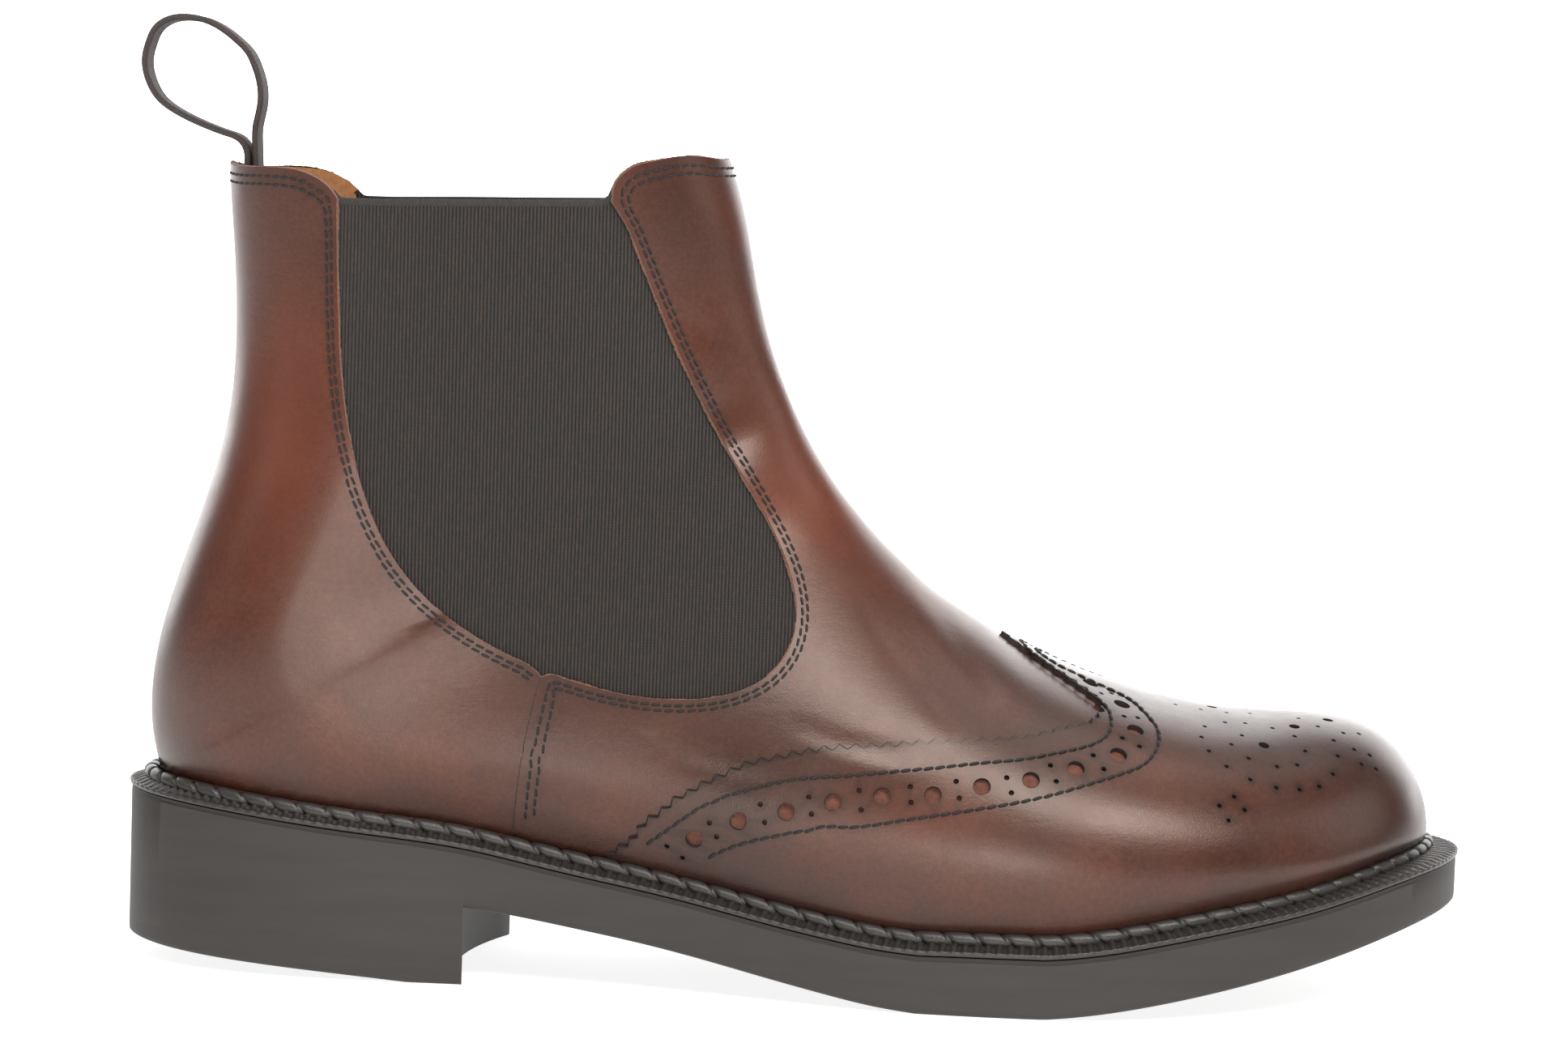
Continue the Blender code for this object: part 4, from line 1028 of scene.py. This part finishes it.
def window_lines(side):
    """Edge of the gore window as (u, v): the part on the quarter, top down, and the part on
    the vamp, bottom up; with the side seam from the gore down to the foot line."""
    outline = spline(by_way(gore_outline()), np.linspace(0.0, 1.0, 181))
    for _ in range(3):
        padded = np.pad(outline, ((6, 6), (0, 0)), mode="edge")
        outline = np.column_stack([np.convolve(padded[:, k], np.ones(13) / 13, "valid")
                                   for k in (0, 1)])
    turn = int(np.argmin(outline[:, 1]))
    meet = np.array(SEAM[0]) * MM
    rear = outline[:turn]
    rear = rear[(rear[:, 1] < 0.1715) & (rear[:, 0] < meet[0] - 0.002)]
    front = outline[(np.arange(len(outline)) > 30) & (outline[:, 0] > meet[0] + 0.002)]
    front = front[front[:, 1] < 0.1660]
    level = np.linspace(SEAM[0][1], SEAM[-1][1], 26) * MM
    forward = spline([(-z * MM, x * MM) for x, z in SEAM], -level)[..., 0]
    seam = side_uv(np.column_stack([forward, level]), side)
    top_rear = sided(REAR_TOP[:1], side)
    top_front = sided(FRONT_TOP[:1], side)
    rear = np.vstack([top_rear, side_uv(rear, side), seam[:1]])
    front = np.vstack([seam[:1], side_uv(front, side), top_front])
    foot_u = seam[-1, 0] + (seam[-1, 0] - seam[-2, 0]) * 2.0
    seam = np.vstack([seam, [[foot_u, float(side)]]])
    return smooth_line(rear, 0.0012), smooth_line(front, 0.0012), smooth_line(seam, 0.0014)


EDGES = {side: window_lines(side) for side in (-1, 1)}


def pinked(line, pitch, deep):
    """The line cut to and fro in small teeth."""
    total = length_of(line)
    teeth = int(round(total / pitch))
    even = resample(line, count=teeth * 8 + 1)
    turn = np.arange(len(even)) / 8.0
    tooth = np.abs((turn % 1.0) * 2.0 - 1.0)
    return shift_line(even, -(tooth ** 0.8 - 0.5) * deep)


def crease(points):
    """Depth of the soft folds at points of the skin, in metres."""
    total = np.zeros(len(points))
    for depth, width, way, line in CREASES:
        rows = np.array(line) * MM
        side = (points[:, 1] < 0) == (way < 0) if way else np.full(len(points), True)
        best = np.full(len(points), 1.0)
        fade = np.zeros(len(points))
        for k, (a, b) in enumerate(zip(rows[:-1], rows[1:])):
            run = b - a
            rel = points[:, [0, 2]] - a
            t = np.clip(rel @ run / (run @ run), 0.0, 1.0)
            gap = np.linalg.norm(rel - t[:, None] * run, axis=1)
            near = gap < best
            best = np.where(near, gap, best)
            fade = np.where(near, (k + t) / (len(rows) - 1), fade)
        ends = np.clip(np.sin(np.pi * fade), 0.0, 1.0) ** 0.6
        total += np.where(side, depth * MM * ends * np.exp(-(best / (width * MM)) ** 2), 0.0)
    return total


# Soft folds: depth, half width, side (-1 outer, 1 inner, 0 both), and the line in x and z,
# all in mm
CREASES = [
    (0.30, 2.6, 0, [(176, 96), (183, 84), (190, 74), (196, 66)]),
    (-0.22, 2.4, 0, [(181, 98), (188, 87), (195, 77), (202, 69)]),
    (0.22, 2.2, -1, [(163, 88), (171, 77), (180, 67), (186, 61)]),
    (0.20, 2.4, -1, [(148, 62), (160, 58), (172, 56), (184, 57)]),
    (-0.16, 2.2, -1, [(150, 57), (162, 53), (174, 51), (184, 52)]),
    (0.18, 2.0, -1, [(118, 58), (126, 52), (136, 49), (147, 48)]),
    (0.10, 3.0, 0, [(9, 86), (16, 83), (26, 82), (36, 84)]),
    (0.22, 2.6, -1, [(122, 150), (128, 146), (134, 141), (139, 135)]),
    (0.22, 2.2, 1, [(160, 88), (169, 77), (178, 68), (186, 61)]),
]

# How far the faces of the cap and the vamp lie above the skin
CAP_LIFT = 1.60 * MM
VAMP_LIFT = 0.35 * MM
# Spacing of points along panel edges and along rows of stitches
EDGE_PITCH = 1.2 * MM
ROW_PITCH = 1.25 * MM


def foot_taper(uv, lift, low):
    """Height of a panel's face, coming down to low where the panel dives behind the welt."""
    point = skin(uv[:, 0], uv[:, 1])
    up = (point[:, 2] - ledge(point[:, 0])) / MM
    share = np.clip((up - 1.0) / 6.0, 0.0, 1.0)
    share = share * share * (3.0 - 2.0 * share)
    return low + (lift - low) * share - crease(point)


def vamp_height(uv):
    return foot_taper(uv, VAMP_LIFT, 0.15 * MM)


def quarter_height(uv):
    return foot_taper(uv, 0.0, 0.0)


def cap_height(uv):
    return foot_taper(uv, CAP_LIFT, 0.45 * MM)


LEATHER_SET = [LEATHER, CUT_EDGE_AND_SHADOW, LINING]
# Depth of the trough under a row of stitches, and of the lining's face below the skin
STITCH_DROP = 0.16 * MM
LINING_DEPTH = 1.95 * MM


def margin_row(path, dist):
    """A stitch line beside a cut edge at its own distance, cleaned where it folds at corners."""
    line = shift_line(path, -dist)
    tree = tree_from(skin(path[:, 0], path[:, 1]))
    place = skin(line[:, 0], line[:, 1])
    gap = np.array([tree.find(p)[2] for p in place])
    good = (gap > 0.9 * np.abs(dist)) & (np.arange(len(line)) > 1)
    return resample(resample(line[good], 2 * ROW_PITCH), ROW_PITCH)


def widths(parts, values):
    """One distance for each point of lines that are put end to end, eased at the joints."""
    out = np.concatenate([np.full(len(part), value) for part, value in zip(parts, values)])
    soft = np.convolve(np.pad(out, 4, mode="edge"), np.ones(9) / 9, "valid")
    return soft * MM


SEWN = {}
SIDES = ((-1, "lateral"), (1, "medial"))
for _side, _label in SIDES:
    rear_window, _, seam_line = EDGES[_side]
    back = np.column_stack([np.linspace(seam_line[-1, 0], 0.987, 150),
                            np.full(150, float(_side))])
    rear_top = smooth_line(sided(REAR_TOP, _side), EDGE_PITCH)
    loop = joined(seam_line, back, rear_top[::-1], rear_window)[:-1]
    parts = [rear_top[::-1], rear_window]
    trim = np.vstack(parts)
    sewn = []
    for at_top, at_side in ((2.0, 1.3), (3.8, 2.5)):
        dist = widths(parts, (at_top, at_side))
        sewn.append(margin_row(trim, -_side * dist)[1:-1])
    SEWN["stitches_rear_" + _label] = (quarter_height, sewn)
    piece = build_sheet("rear_quarter_" + _label, loop, [], sewn, [STITCH_DROP] * len(sewn),
                        quarter_height, 1.0 * MM, LEATHER_SET,
                        back=-LINING_DEPTH, edge_burnish_and_shade=0.1)
    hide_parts("upper")

# The vamp and the toe's underlay meet under the cap, 4 mm in from its edge
_under_cap = shift_line(WING_LINE, -4.0 * MM)
_front = resample(_under_cap, 0.0014)
_top = [smooth_line(sided(FRONT_TOP, s), EDGE_PITCH) for s in (-1, 1)]
_parts = [EDGES[-1][2][::-1], EDGES[-1][1], _top[0], _top[1][::-1], EDGES[1][1][::-1],
          EDGES[1][2]]
VAMP_LOOP = joined(*_parts, _front[::-1])
_rows = []
for at_seam, at_side, at_top in ((2.3, 1.3, 2.0), (4.2, 2.5, 3.8)):
    dist = widths(_parts, (at_seam, at_side, at_top, at_top, at_side, at_seam))
    _rows.append(margin_row(np.vstack(_parts), dist)[2:-2])
SEWN["stitches_vamp"] = (vamp_height, _rows)
VAMP = build_sheet("vamp", VAMP_LOOP, [], _rows, [STITCH_DROP] * len(_rows), vamp_height,
                   1.4 * MM, LEATHER_SET, back=-LINING_DEPTH, edge_burnish_and_shade=0.1)
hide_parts("upper")

# Outline of the cap: the pinked edge, then back along both foot lines and round the toe tip
_tip = 0.006
_edge = pinked(WING_LINE, 3.5 * MM, 1.3 * MM)
_edge[0, 1] = -1.0
_edge[-1, 1] = 1.0
_down = np.column_stack([np.linspace(_edge[-1, 0], _tip, 150)[1:], np.full(149, 1.0)])
_round = np.column_stack([np.full(40, _tip), np.linspace(1.0, -1.0, 40)])[1:]
_up = np.column_stack([np.linspace(_tip, _edge[0, 0], 150)[1:-1], np.full(148, -1.0)])
CAP_LOOP = np.vstack([_edge, _down, _round, _up])
_holes = []
for _side in (-1, 1):
    for rows, radius, count in ((BAND_HOLES, 1.95, 20), (PAIR_HOLES, 0.62, 10),
                                (TOE_LARGE, 1.25, 14), (TOE_SMALL, 0.55, 9)):
        for u, w in rows:
            on_ridge = w < 0.02
            behind_welt = w > 0.80 and radius > 1.0
            if not behind_welt and not (on_ridge and _side > 0):
                _holes.append(circle((u, w * _side), radius * MM, count))
_row_a = smooth_line(np.vstack([[(0.3800, 0.0)], [(0.374, 0.030)], [(0.345, 0.072)], ROW_A]),
                     ROW_PITCH)
_row_b = smooth_line(ROW_B, ROW_PITCH)
_cap_rows = [resample(both_sides(r), ROW_PITCH)[6:-6] for r in (_row_a, _row_b)]
SEWN["stitches_wing"] = (cap_height, _cap_rows)
_cap_rows = _cap_rows + [resample(shift_line(WING_LINE, -1.15 * MM), EDGE_PITCH)[4:-4]]
# The cap's pinked edge is darkened almost fully: partly the dark cut edge, partly painted shadow
# along the tooth borders.
CAP = build_sheet("wing_cap_leather", CAP_LOOP, _holes, _cap_rows,
                  [0.30 * MM, 0.30 * MM, 0.0], cap_height, 1.35 * MM,
                  [CAP_LEATHER, CUT_EDGE_AND_SHADOW, UNDER], pitch=0.0015, edge_burnish_and_shade=0.95)
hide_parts("wing_cap")

_under_edge = resample(_under_cap, count=241)
_uu = np.linspace(0.015, 1.0, 90)[:, None] * _under_edge[None, :, 0]
_vv = np.broadcast_to(_under_edge[None, :, 1], _uu.shape)
_verts = [skin_out(_uu, _vv, np.full(_uu.shape, out)).reshape(-1, 3)
          for out in (0.15 * MM, -LINING_DEPTH)]
_faces = [(p, s, r, q) for p, q, r, s in quads(*_uu.shape, closed=False)]
_slots = [0] * len(_faces) + [1] * len(_faces)
_faces += [tuple(_uu.size + q for q in f[::-1]) for f in _faces]
UNDERLAY = new_mesh("toe_underlay", np.vstack(_verts), _faces, [UNDER, LINING],
                    _slots)
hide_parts("upper")


def thread_height(panel, drop):
    """Height of a thread above the skin where it lies sunk into a panel's face."""
    return lambda uv: panel(uv) - drop


for _name, (_height, _lines) in SEWN.items():
    if _name == "stitches_wing":
        stitches(_name, _lines, thread_height(_height, 0.12 * MM), 0.94, 0.34 * MM)
    else:
        stitches(_name, _lines, thread_height(_height, STITCH_DROP), 0.86, 0.29 * MM)


# The thin step under the ledge and the rounded lower edge: how far in, and the height from
# the ledge or from the bottom
STEP = ((0.0, 0.0), (0.00045, 0.0), (0.00045, -0.0007), (0.0, -0.0011))
LOWER_EDGE = ((0.0, 0.0014), (0.00018, 0.0006), (0.0006, 0.0002), (0.0012, 0.0))


def fine_outsole():
    """Sole unit with a rounded lower edge, a thin step above it and a hollow heel breast."""
    xs = (1.0 - np.cos(np.linspace(0.0, np.pi, 240))) / 2.0 * SOLE_LENGTH
    edge = {}
    for side in (-1, 1):
        line = spline(PLANS[side], np.linspace(0.0, 1.0, 4001))
        edge[side] = np.maximum.accumulate(line[:, 0]), line[:, 1]
    t = np.linspace(-1.0, 1.0, 15)

    def row(x, heel):
        pull = math.exp(-((x - HEEL_BREAST) / 0.022) ** 2)
        skew = 0.0032 * pull
        y0 = np.interp(x - skew, *edge[-1])
        y1 = np.interp(x + skew, *edge[1])
        if x <= 0.0 or x >= SOLE_LENGTH:
            y0 = y1 = edge[1][1][0 if x <= 0.0 else -1]
        line_x = x + skew * t - 0.0060 * pull * (1.0 - t * t)
        width = max(y1 - y0, 1e-9)
        middle = (y0 + y1) / 2
        top_z = ledge(line_x)
        low_z = heel_floor(np.full(len(t), x)) if heel else underside(line_x)
        sides = []
        for k, way in ((-1, 1), (0, -1)):
            high = top_z[k]
            low = low_z[k]
            wall = [(inset, high + drop) for inset, drop in STEP]
            wall.append((0.0, low + (high - 0.0011 - low) * 0.5))
            wall += [(inset, low + lift) for inset, lift in LOWER_EDGE]
            sides.append(np.array([
                (line_x[k], middle + way * (width / 2 - min(inset, width * 0.2)), z)
                for inset, z in wall
            ]))
        near = min(0.0012, width * 0.2)
        top = np.column_stack([line_x, middle + t * width / 2, top_z])
        base = np.column_stack([line_x, middle + t * (width / 2 - near), low_z])
        return np.concatenate([top, sides[0][1:-1], base[::-1], sides[1][1:-1][::-1]])

    grid = np.array([row(x, True) for x in xs[xs < HEEL_BREAST - 0.0012]]
                    + [row(HEEL_BREAST, True), row(HEEL_BREAST, False)]
                    + [row(x, False) for x in xs[xs > HEEL_BREAST + 0.0012]])
    ob = new_mesh("sole_unit", grid.reshape(-1, 3), quads(*grid.shape[:2]), [RUBBER])
    ob.data.set_sharp_from_angle(angle=math.radians(40.0))
    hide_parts("outsole")


def welt_ring(name, profile, relief, count):
    """A ring round the upper: profile rows are (out, up, from_edge) in mm, relief gives the
    move out and up, in mm, from the way round and the row."""
    sides = []
    for side in (-1, 1):
        ways = np.linspace(0.0, 1.0, 4001)
        run = way_along(plan_edge(side, ways, np.zeros(len(ways)))[0])
        at = np.interp(np.linspace(0.0, run[-1], count // 2 + 1), run, ways)
        sides.append(np.column_stack([*plan_edge(side, at, np.zeros(len(at))), stand(at)]))
    ring = np.vstack([sides[0], sides[1][-2:0:-1]])
    point, out, wide = ring[:, :2], ring[:, 2:4], ring[:, 4]
    length = way_along(point)
    total = length[-1] + np.linalg.norm(point[0] - point[-1])
    rows = []
    for k, (reach, up, from_edge) in enumerate(profile):
        dist = (wide + WELT_OVERHANG + reach * MM) if from_edge else np.full(len(wide), reach * MM)
        add_out, add_up = relief(length, total, k)
        dist = dist + add_out * MM
        place = point + out * (dist - wide)[:, None]
        z = ledge(place[:, 0]) + (up + add_up) * MM
        rows.append(np.column_stack([place, z]))
    grid = np.array(rows).transpose(1, 0, 2)
    ob = new_mesh(name, grid.reshape(-1, 3), quads(*grid.shape[:2], ring=True),
                  [WELT_RUBBER])
    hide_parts("welt")


# Section of the rope bead: an arc from below its inner side round to the flange
BEAD_RADIUS = 1.62
BEAD = []
for _k in range(20):
    _a = math.radians(-60.0 + 300.0 * _k / 19.0)
    BEAD.append((1.75 + BEAD_RADIUS * math.cos(_a), 3.05 + BEAD_RADIUS * math.sin(_a), False))


def bead_relief(length, total, k):
    """Rope of slanting leaves."""
    segments = int(round(total / (6.6 * MM)))
    turn = k / 19.0
    phase = (length / total * segments + turn * 0.9) % 1.0
    groove = np.exp(-(np.minimum(phase, 1.0 - phase) / 0.085) ** 2)
    swell = np.sin(np.pi * phase) ** 0.7
    depth = 0.16 * swell - 0.55 * groove
    a = math.radians(-60.0 + 300.0 * turn)
    return depth * math.cos(a), depth * math.sin(a)


# Section of the notched flange, and how deep and how far out its notches go in each row
FLANGE = [
    (2.2, 0.35, False), (2.4, 2.5, False), (3.0, 2.75, False), (3.5, 2.6, False),
    (-1.9, 2.15, True), (-1.5, 1.95, True), (-1.1, 1.75, True), (-0.75, 1.6, True),
    (-0.45, 1.5, True), (-0.12, 1.42, True), (0.0, 1.25, True), (0.0, 0.6, True),
    (-0.1, 0.33, True),
]
NOTCH_DEPTH = (0, 0.30, 0.62, 0.70, 0.72, 0.70, 0.62, 0.45, 0.25, 0.06, 0.0, 0.0, 0.0)
NOTCH_SWAY = (0, 0, 0, 0, 0, 0, 0, 0.05, 0.10, 0.10, 0.06, 0.0, 0.0)


def flange_relief(length, total, k):
    """Radial teeth beside the bead, shallow at the outer edge."""
    teeth = int(round(total / (2.5 * MM)))
    phase = (length / total * teeth) % 1.0
    wave = np.cos(2 * np.pi * phase)
    deep = np.clip(wave * 1.5, -1.0, 1.0)
    return NOTCH_SWAY[k] * deep, NOTCH_DEPTH[k] * 0.5 * (deep - 1.0)


fine_outsole()
welt_ring("welt_bead", BEAD, bead_relief, 2600)
welt_ring("welt_flange", FLANGE, flange_relief, 2600)


def elastic(name, colour_a, colour_b):
    """Ribbed elastic: fine upright ribs over weft threads, the grooves between ribs darkened and
    the rib tops lightened as painted shade and light.
    """
    mat, tree, bsdf, coord = start_material(name)
    bands = []
    for direction, pitch, distortion, detail, detail_scale in (
            ("X", 0.00080, 0.35, 1.0, 3.0), ("Z", 0.00055, 1.2, 2.0, 1.0)):
        wave = fill(tree.nodes.new("ShaderNodeTexWave"),
                    {"Scale": 0.3142 / pitch, "Distortion": distortion, "Detail": detail,
                     "Detail Scale": detail_scale})
        wave.bands_direction = direction
        link(tree, coord, "Object", wave, "Vector")
        bands.append(wave)
    wave, weft = bands
    warm = noise(tree, coord, 1100.0, 3.0, 0.7, (1.0, 1.0, 0.35))
    tone = ramp(tree, warm, "Fac", [(0.42, colour_a), (0.66, colour_b)])
    # Painted shade in the grooves between ribs and painted light on the rib tops, multiplied into
    # the colour.
    rib_light_and_shade = ramp(tree, wave, "Fac", [(0.15, grey(0.28)), (0.75, grey(1.35))])
    first = mix_colour(tree, 1.0, (tone, "Color"), (rib_light_and_shade, "Color"), "MULTIPLY")
    row = ramp(tree, weft, "Fac", [(0.2, grey(0.82)), (0.8, grey(1.10))])
    second = mix_colour(tree, 1.0, first, (row, "Color"), "MULTIPLY")
    link(tree, *second, bsdf, "Base Color")
    fill(bsdf, {"Roughness": 0.78, "Sheen Weight": 0.08, "Specular IOR Level": 0.3,
                "Sheen Roughness": 0.5})
    bump(tree, bsdf, [(wave, "Fac", 1.0, 0.00045), (weft, "Fac", 0.35, 0.00010)])
    return mat


ELASTIC = elastic("ribbed_elastic", (0.024, 0.023, 0.022), (0.040, 0.029, 0.024))
HEM = plain("elastic_hem", (0.022, 0.021, 0.020), 0.75, 1600.0, 0.3, 0.8, 0.0002,
            stretch=(1.0, 1.0, 0.3))
TAPE = plain("pull_tape", (0.046, 0.035, 0.033), 0.7, 1500.0, 0.35, 0.9, 0.0003,
             stretch=(1.0, 1.0, 2.0))


def gore_top(side, count):
    way = np.linspace(0.665, 0.285, count)
    return np.column_stack([collar_u(way), way * side])


def elastic_height(uv):
    return np.full(len(uv), -0.95 * MM)


for _side, _label in SIDES:
    window = resample(np.vstack([EDGES[_side][0], EDGES[_side][1][1:]]), 0.002)
    wide = shift_line(window, _side * 3.2 * MM)
    top = gore_top(_side, 40)
    below_top = wide[:, 0] < 0.945
    loop = resample(np.vstack([wide[below_top], top[::-1]]), 0.002, closed=True)
    band = resample(shift_line(top, _side * -1.5 * MM), 0.002)
    piece = build_sheet("gore_elastic_" + _label, loop, [], [band], [0.20 * MM],
                        elastic_height, 1.0 * MM, [ELASTIC, HEM, ELASTIC],
                        pitch=0.0025, edge_drop=0.0002, back=-2.1 * MM)
    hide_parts("gore_" + _label)
    # Rolled hem along the top edge
    point, _, _, normal = measure(resample(top, 0.0012))
    point = point - normal * 1.45 * MM
    verts = []
    for p, n, t in zip(point, normal, along(point)):
        b = np.cross(n, t)
        b = b * (1 if b[2] > 0 else -1)
        for k in range(12):
            a = 2 * math.pi * k / 12
            verts.append(p - b * 0.6 * MM + b * math.cos(a) * 0.95 * MM
                         + n * math.sin(a) * 0.62 * MM)
    hem = new_mesh("gore_hem_" + _label, verts, quads(len(point), 12), [HEM])
    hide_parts("gore_" + _label)

RNG = np.random.default_rng(7)


def raw_strip(name, line, side, height, reach, low=0.7):
    """Frayed edge of the leather and its backing, standing out past a cut line."""
    even = resample(line, 0.00045)
    count = len(even)
    rough = RNG.normal(0.0, 1.0, count)
    slow = np.convolve(RNG.normal(0.0, 1.0, count + 24), np.ones(25) / 25, "valid") * 5.0
    size = np.clip(reach * (0.75 + 0.28 * rough * 0.6 + 0.35 * slow), 0.12, reach * 1.9)
    base = height(even)
    inner = shift_line(even, side * 0.25 * MM)
    outer = shift_line(even, -side * size * MM, steps=1)
    verts = []
    for uv, lift in ((inner, base - 0.35 * MM), (even, base - 0.28 * MM),
                     (outer, base - (0.45 + 0.1 * rough) * MM),
                     (outer, base - low * MM - 0.4 * MM)):
        point, _, _, normal = measure(uv)
        verts.append(point + normal * lift[:, None])
    new_mesh(name, np.vstack(verts), quads(4, count, closed=False), [RAW_EDGE],
             flat=True)


for _side, _label in SIDES:
    raw_strip("raw_edge_rear_" + _label, EDGES[_side][0], _side, quarter_height, 0.32)
    raw_strip("raw_edge_front_" + _label, EDGES[_side][1], _side, vamp_height, 0.36)
    raw_strip("raw_edge_seam_" + _label, EDGES[_side][2], -_side, vamp_height, 0.16, 0.2)
    raw_strip("raw_edge_top_rear_" + _label, smooth_line(sided(REAR_TOP, _side), 0.001),
              -_side, quarter_height, 0.28)
    raw_strip("raw_edge_top_front_" + _label, smooth_line(sided(FRONT_TOP, _side), 0.001),
              _side, vamp_height, 0.32)


def shadow_line(name, line, side, height, reach, mat):
    """Thin dark ribbon lying beside a cut edge: painted shadow of the step that the edge makes."""
    outer = shift_line(line, side * reach * MM, steps=1)
    verts = []
    for uv in (line, outer):
        point, _, _, normal = measure(uv)
        verts.append(point + normal * (height(uv) + 0.03 * MM)[:, None])
    new_mesh(name, np.vstack(verts), quads(2, len(line), closed=False), [mat],
             flat=True)


# Painted shadow: dark ribbons laid on the vamp beside the pinked wing edge and beside each side
# seam, where the step of the edge would cast shade.
shadow_line("wing_edge_painted_shadow", _edge[1:-1], 1, vamp_height, 0.42, EDGE_SHADOW)
for _side, _label in SIDES:
    shadow_line("seam_painted_shadow_" + _label, EDGES[_side][2][:-1], _side, quarter_height, 0.28,
                CUT_EDGE_AND_SHADOW)


def tape_half(y):
    """Half the thickness of the tape across its width, as a share, with raised selvedges."""
    selvedge = 0.10 * math.exp(-((abs(y) - 0.93) / 0.05) ** 2)
    return 0.42 + selvedge - 0.30 * max(0.0, (abs(y) - 0.96) / 0.04)


def fine_loop():
    """Tape of the pull loop."""
    top = spline(BACK_WAY, np.array([0.965]))[0]
    start = np.array([top[0] + WALL + GAP + LOOP_THICKNESS / 2, top[2]])
    path = np.array(LOOP) * LOOP_RISE
    line = spline(by_way(path), np.linspace(0.0, 1.0, 260)) + start
    run = np.gradient(line, axis=0)
    run = run / np.linalg.norm(run, axis=1)[:, None]
    left = np.stack([-run[:, 1], run[:, 0]], axis=1)
    section = [(y, tape_half(y)) for y in np.linspace(-1.0, 1.0, 21)]
    section += [(y, -tape_half(y)) for y in np.linspace(1.0, -1.0, 21)]
    verts = []
    for p, n in zip(line, left):
        for y, h in section:
            q = p + n * h * LOOP_THICKNESS
            verts.append((q[0], y * LOOP_WIDTH / 2, q[1]))
    ob = new_mesh("pull_tape_loop", verts, quads(len(line), len(section)), [TAPE])
    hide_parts("pull_loop")


fine_loop()

# The insole's solid stays on show and gets the sock's finish
_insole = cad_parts["insole"]
if not _insole.material_slots:
    _insole.data.materials.append(SOCK)
for _place in _insole.material_slots:
    _place.material = SOCK


def place_object(name, data):
    """A new object that belongs to the studio, not to the boot."""
    ob = bpy.data.objects.new(name, data)
    bpy.context.scene.collection.objects.link(ob)
    return ob


def white_card(name, corners, base, values):
    """A flat card that glows white."""
    mesh = bpy.data.meshes.new(name)
    mesh.from_pydata(corners, [], [(0, 1, 2, 3)])
    mat, _, bsdf, _ = start_material(name + "_white")
    fill(bsdf, {"Base Color": (base, base, base, 1.0), "Emission Color": (1.0, 1.0, 1.0, 1.0),
                **values})
    mesh.materials.append(mat)
    return place_object(name, mesh)


FLOOR = white_card("floor", [(-6, -6, 0), (6, -6, 0), (6, 6, 0), (-6, 6, 0)], 0.60,
                   {"Emission Strength": 0.84, "Roughness": 0.9, "Specular IOR Level": 0.1})
WALL_CARD = white_card("backdrop", [(-7, 5.5, -0.2), (7, 5.5, -0.2), (7, 5.5, 6), (-7, 5.5, 6)],
                       0.0, {"Emission Strength": 2.8})


def soft_box(name, place, aim, wide, high, power):
    light = bpy.data.lights.new(name, "AREA")
    light.shape = "RECTANGLE"
    light.size = wide
    light.size_y = high
    light.energy = power
    light.color = (1.0, 0.935, 0.88)
    ob = place_object(name, light)
    ob.location = place
    ob.rotation_euler = (Vector(aim) - Vector(place)).to_track_quat("-Z", "Y").to_euler()


def box_at(name, turn, rise, away, wide, high, power):
    """Soft box seen from the boot at a turn towards the toe from the camera's side, and at
    a rise, both in degrees."""
    a = math.radians(turn)
    e = math.radians(rise)
    place = (away * math.sin(a) * math.cos(e), -away * math.cos(a) * math.cos(e),
             0.07 + away * math.sin(e))
    soft_box(name, place, (0.0, 0.0, 0.07), wide, high, power)


box_at("box_low", -3.0, 0.5, 1.75, 0.55, 0.36, 9.5)
box_at("box_high_right", 27.0, 42.0, 1.50, 0.60, 0.50, 14.0)
box_at("box_high_left", -6.0, 49.0, 1.50, 0.50, 0.45, 10.0)
box_at("box_side_left", -75.0, 30.0, 1.60, 0.50, 0.90, 2.4)
box_at("box_side_right", 80.0, 25.0, 1.60, 0.50, 0.90, 2.8)
soft_box("box_top", (0.05, 0.15, 1.60), (0.0, 0.0, 0.0), 1.4, 1.0, 12.0)

_world = bpy.data.worlds.new("studio")
bpy.context.scene.world = _world
_world.use_nodes = True
fill(_world.node_tree.nodes["Background"], {"Color": (1.0, 1.0, 1.0, 1.0), "Strength": 0.15})
bpy.context.scene.view_settings.view_transform = "Standard"

# Camera at the photograph's angle: place in the heel-based frame, pitch and roll in degrees,
# and the focal length in pixels of a picture 1936 wide
CAMERA_PLACE = (0.1468, -1.0, 0.185)
CAMERA_PITCH = 4.7
CAMERA_ROLL = 1.9
FOCAL_PIXELS = 5440.0
PICTURE_WIDTH = 1936.0
_cam = bpy.data.cameras.new("camera")
_cam.sensor_width = 36.0
_cam.lens = FOCAL_PIXELS / PICTURE_WIDTH * _cam.sensor_width
_cam.clip_end = 50.0
CAMERA = place_object("camera", _cam)
_pitch = math.radians(CAMERA_PITCH)
_roll = math.radians(CAMERA_ROLL)
_fwd = Vector((0.0, math.cos(_pitch), -math.sin(_pitch)))
_right = Vector((1.0, 0.0, 0.0))
_up = _right.cross(_fwd)
_r = _right * math.cos(_roll) + _up * math.sin(_roll)
_u = _up * math.cos(_roll) - _right * math.sin(_roll)
_turn = Matrix((_r, _u, -_fwd)).transposed()
_spot = Vector(CAMERA_PLACE) + Vector(OFFSET)
CAMERA.matrix_world = Matrix.Translation(_spot) @ _turn.to_4x4()
bpy.context.scene.camera = CAMERA
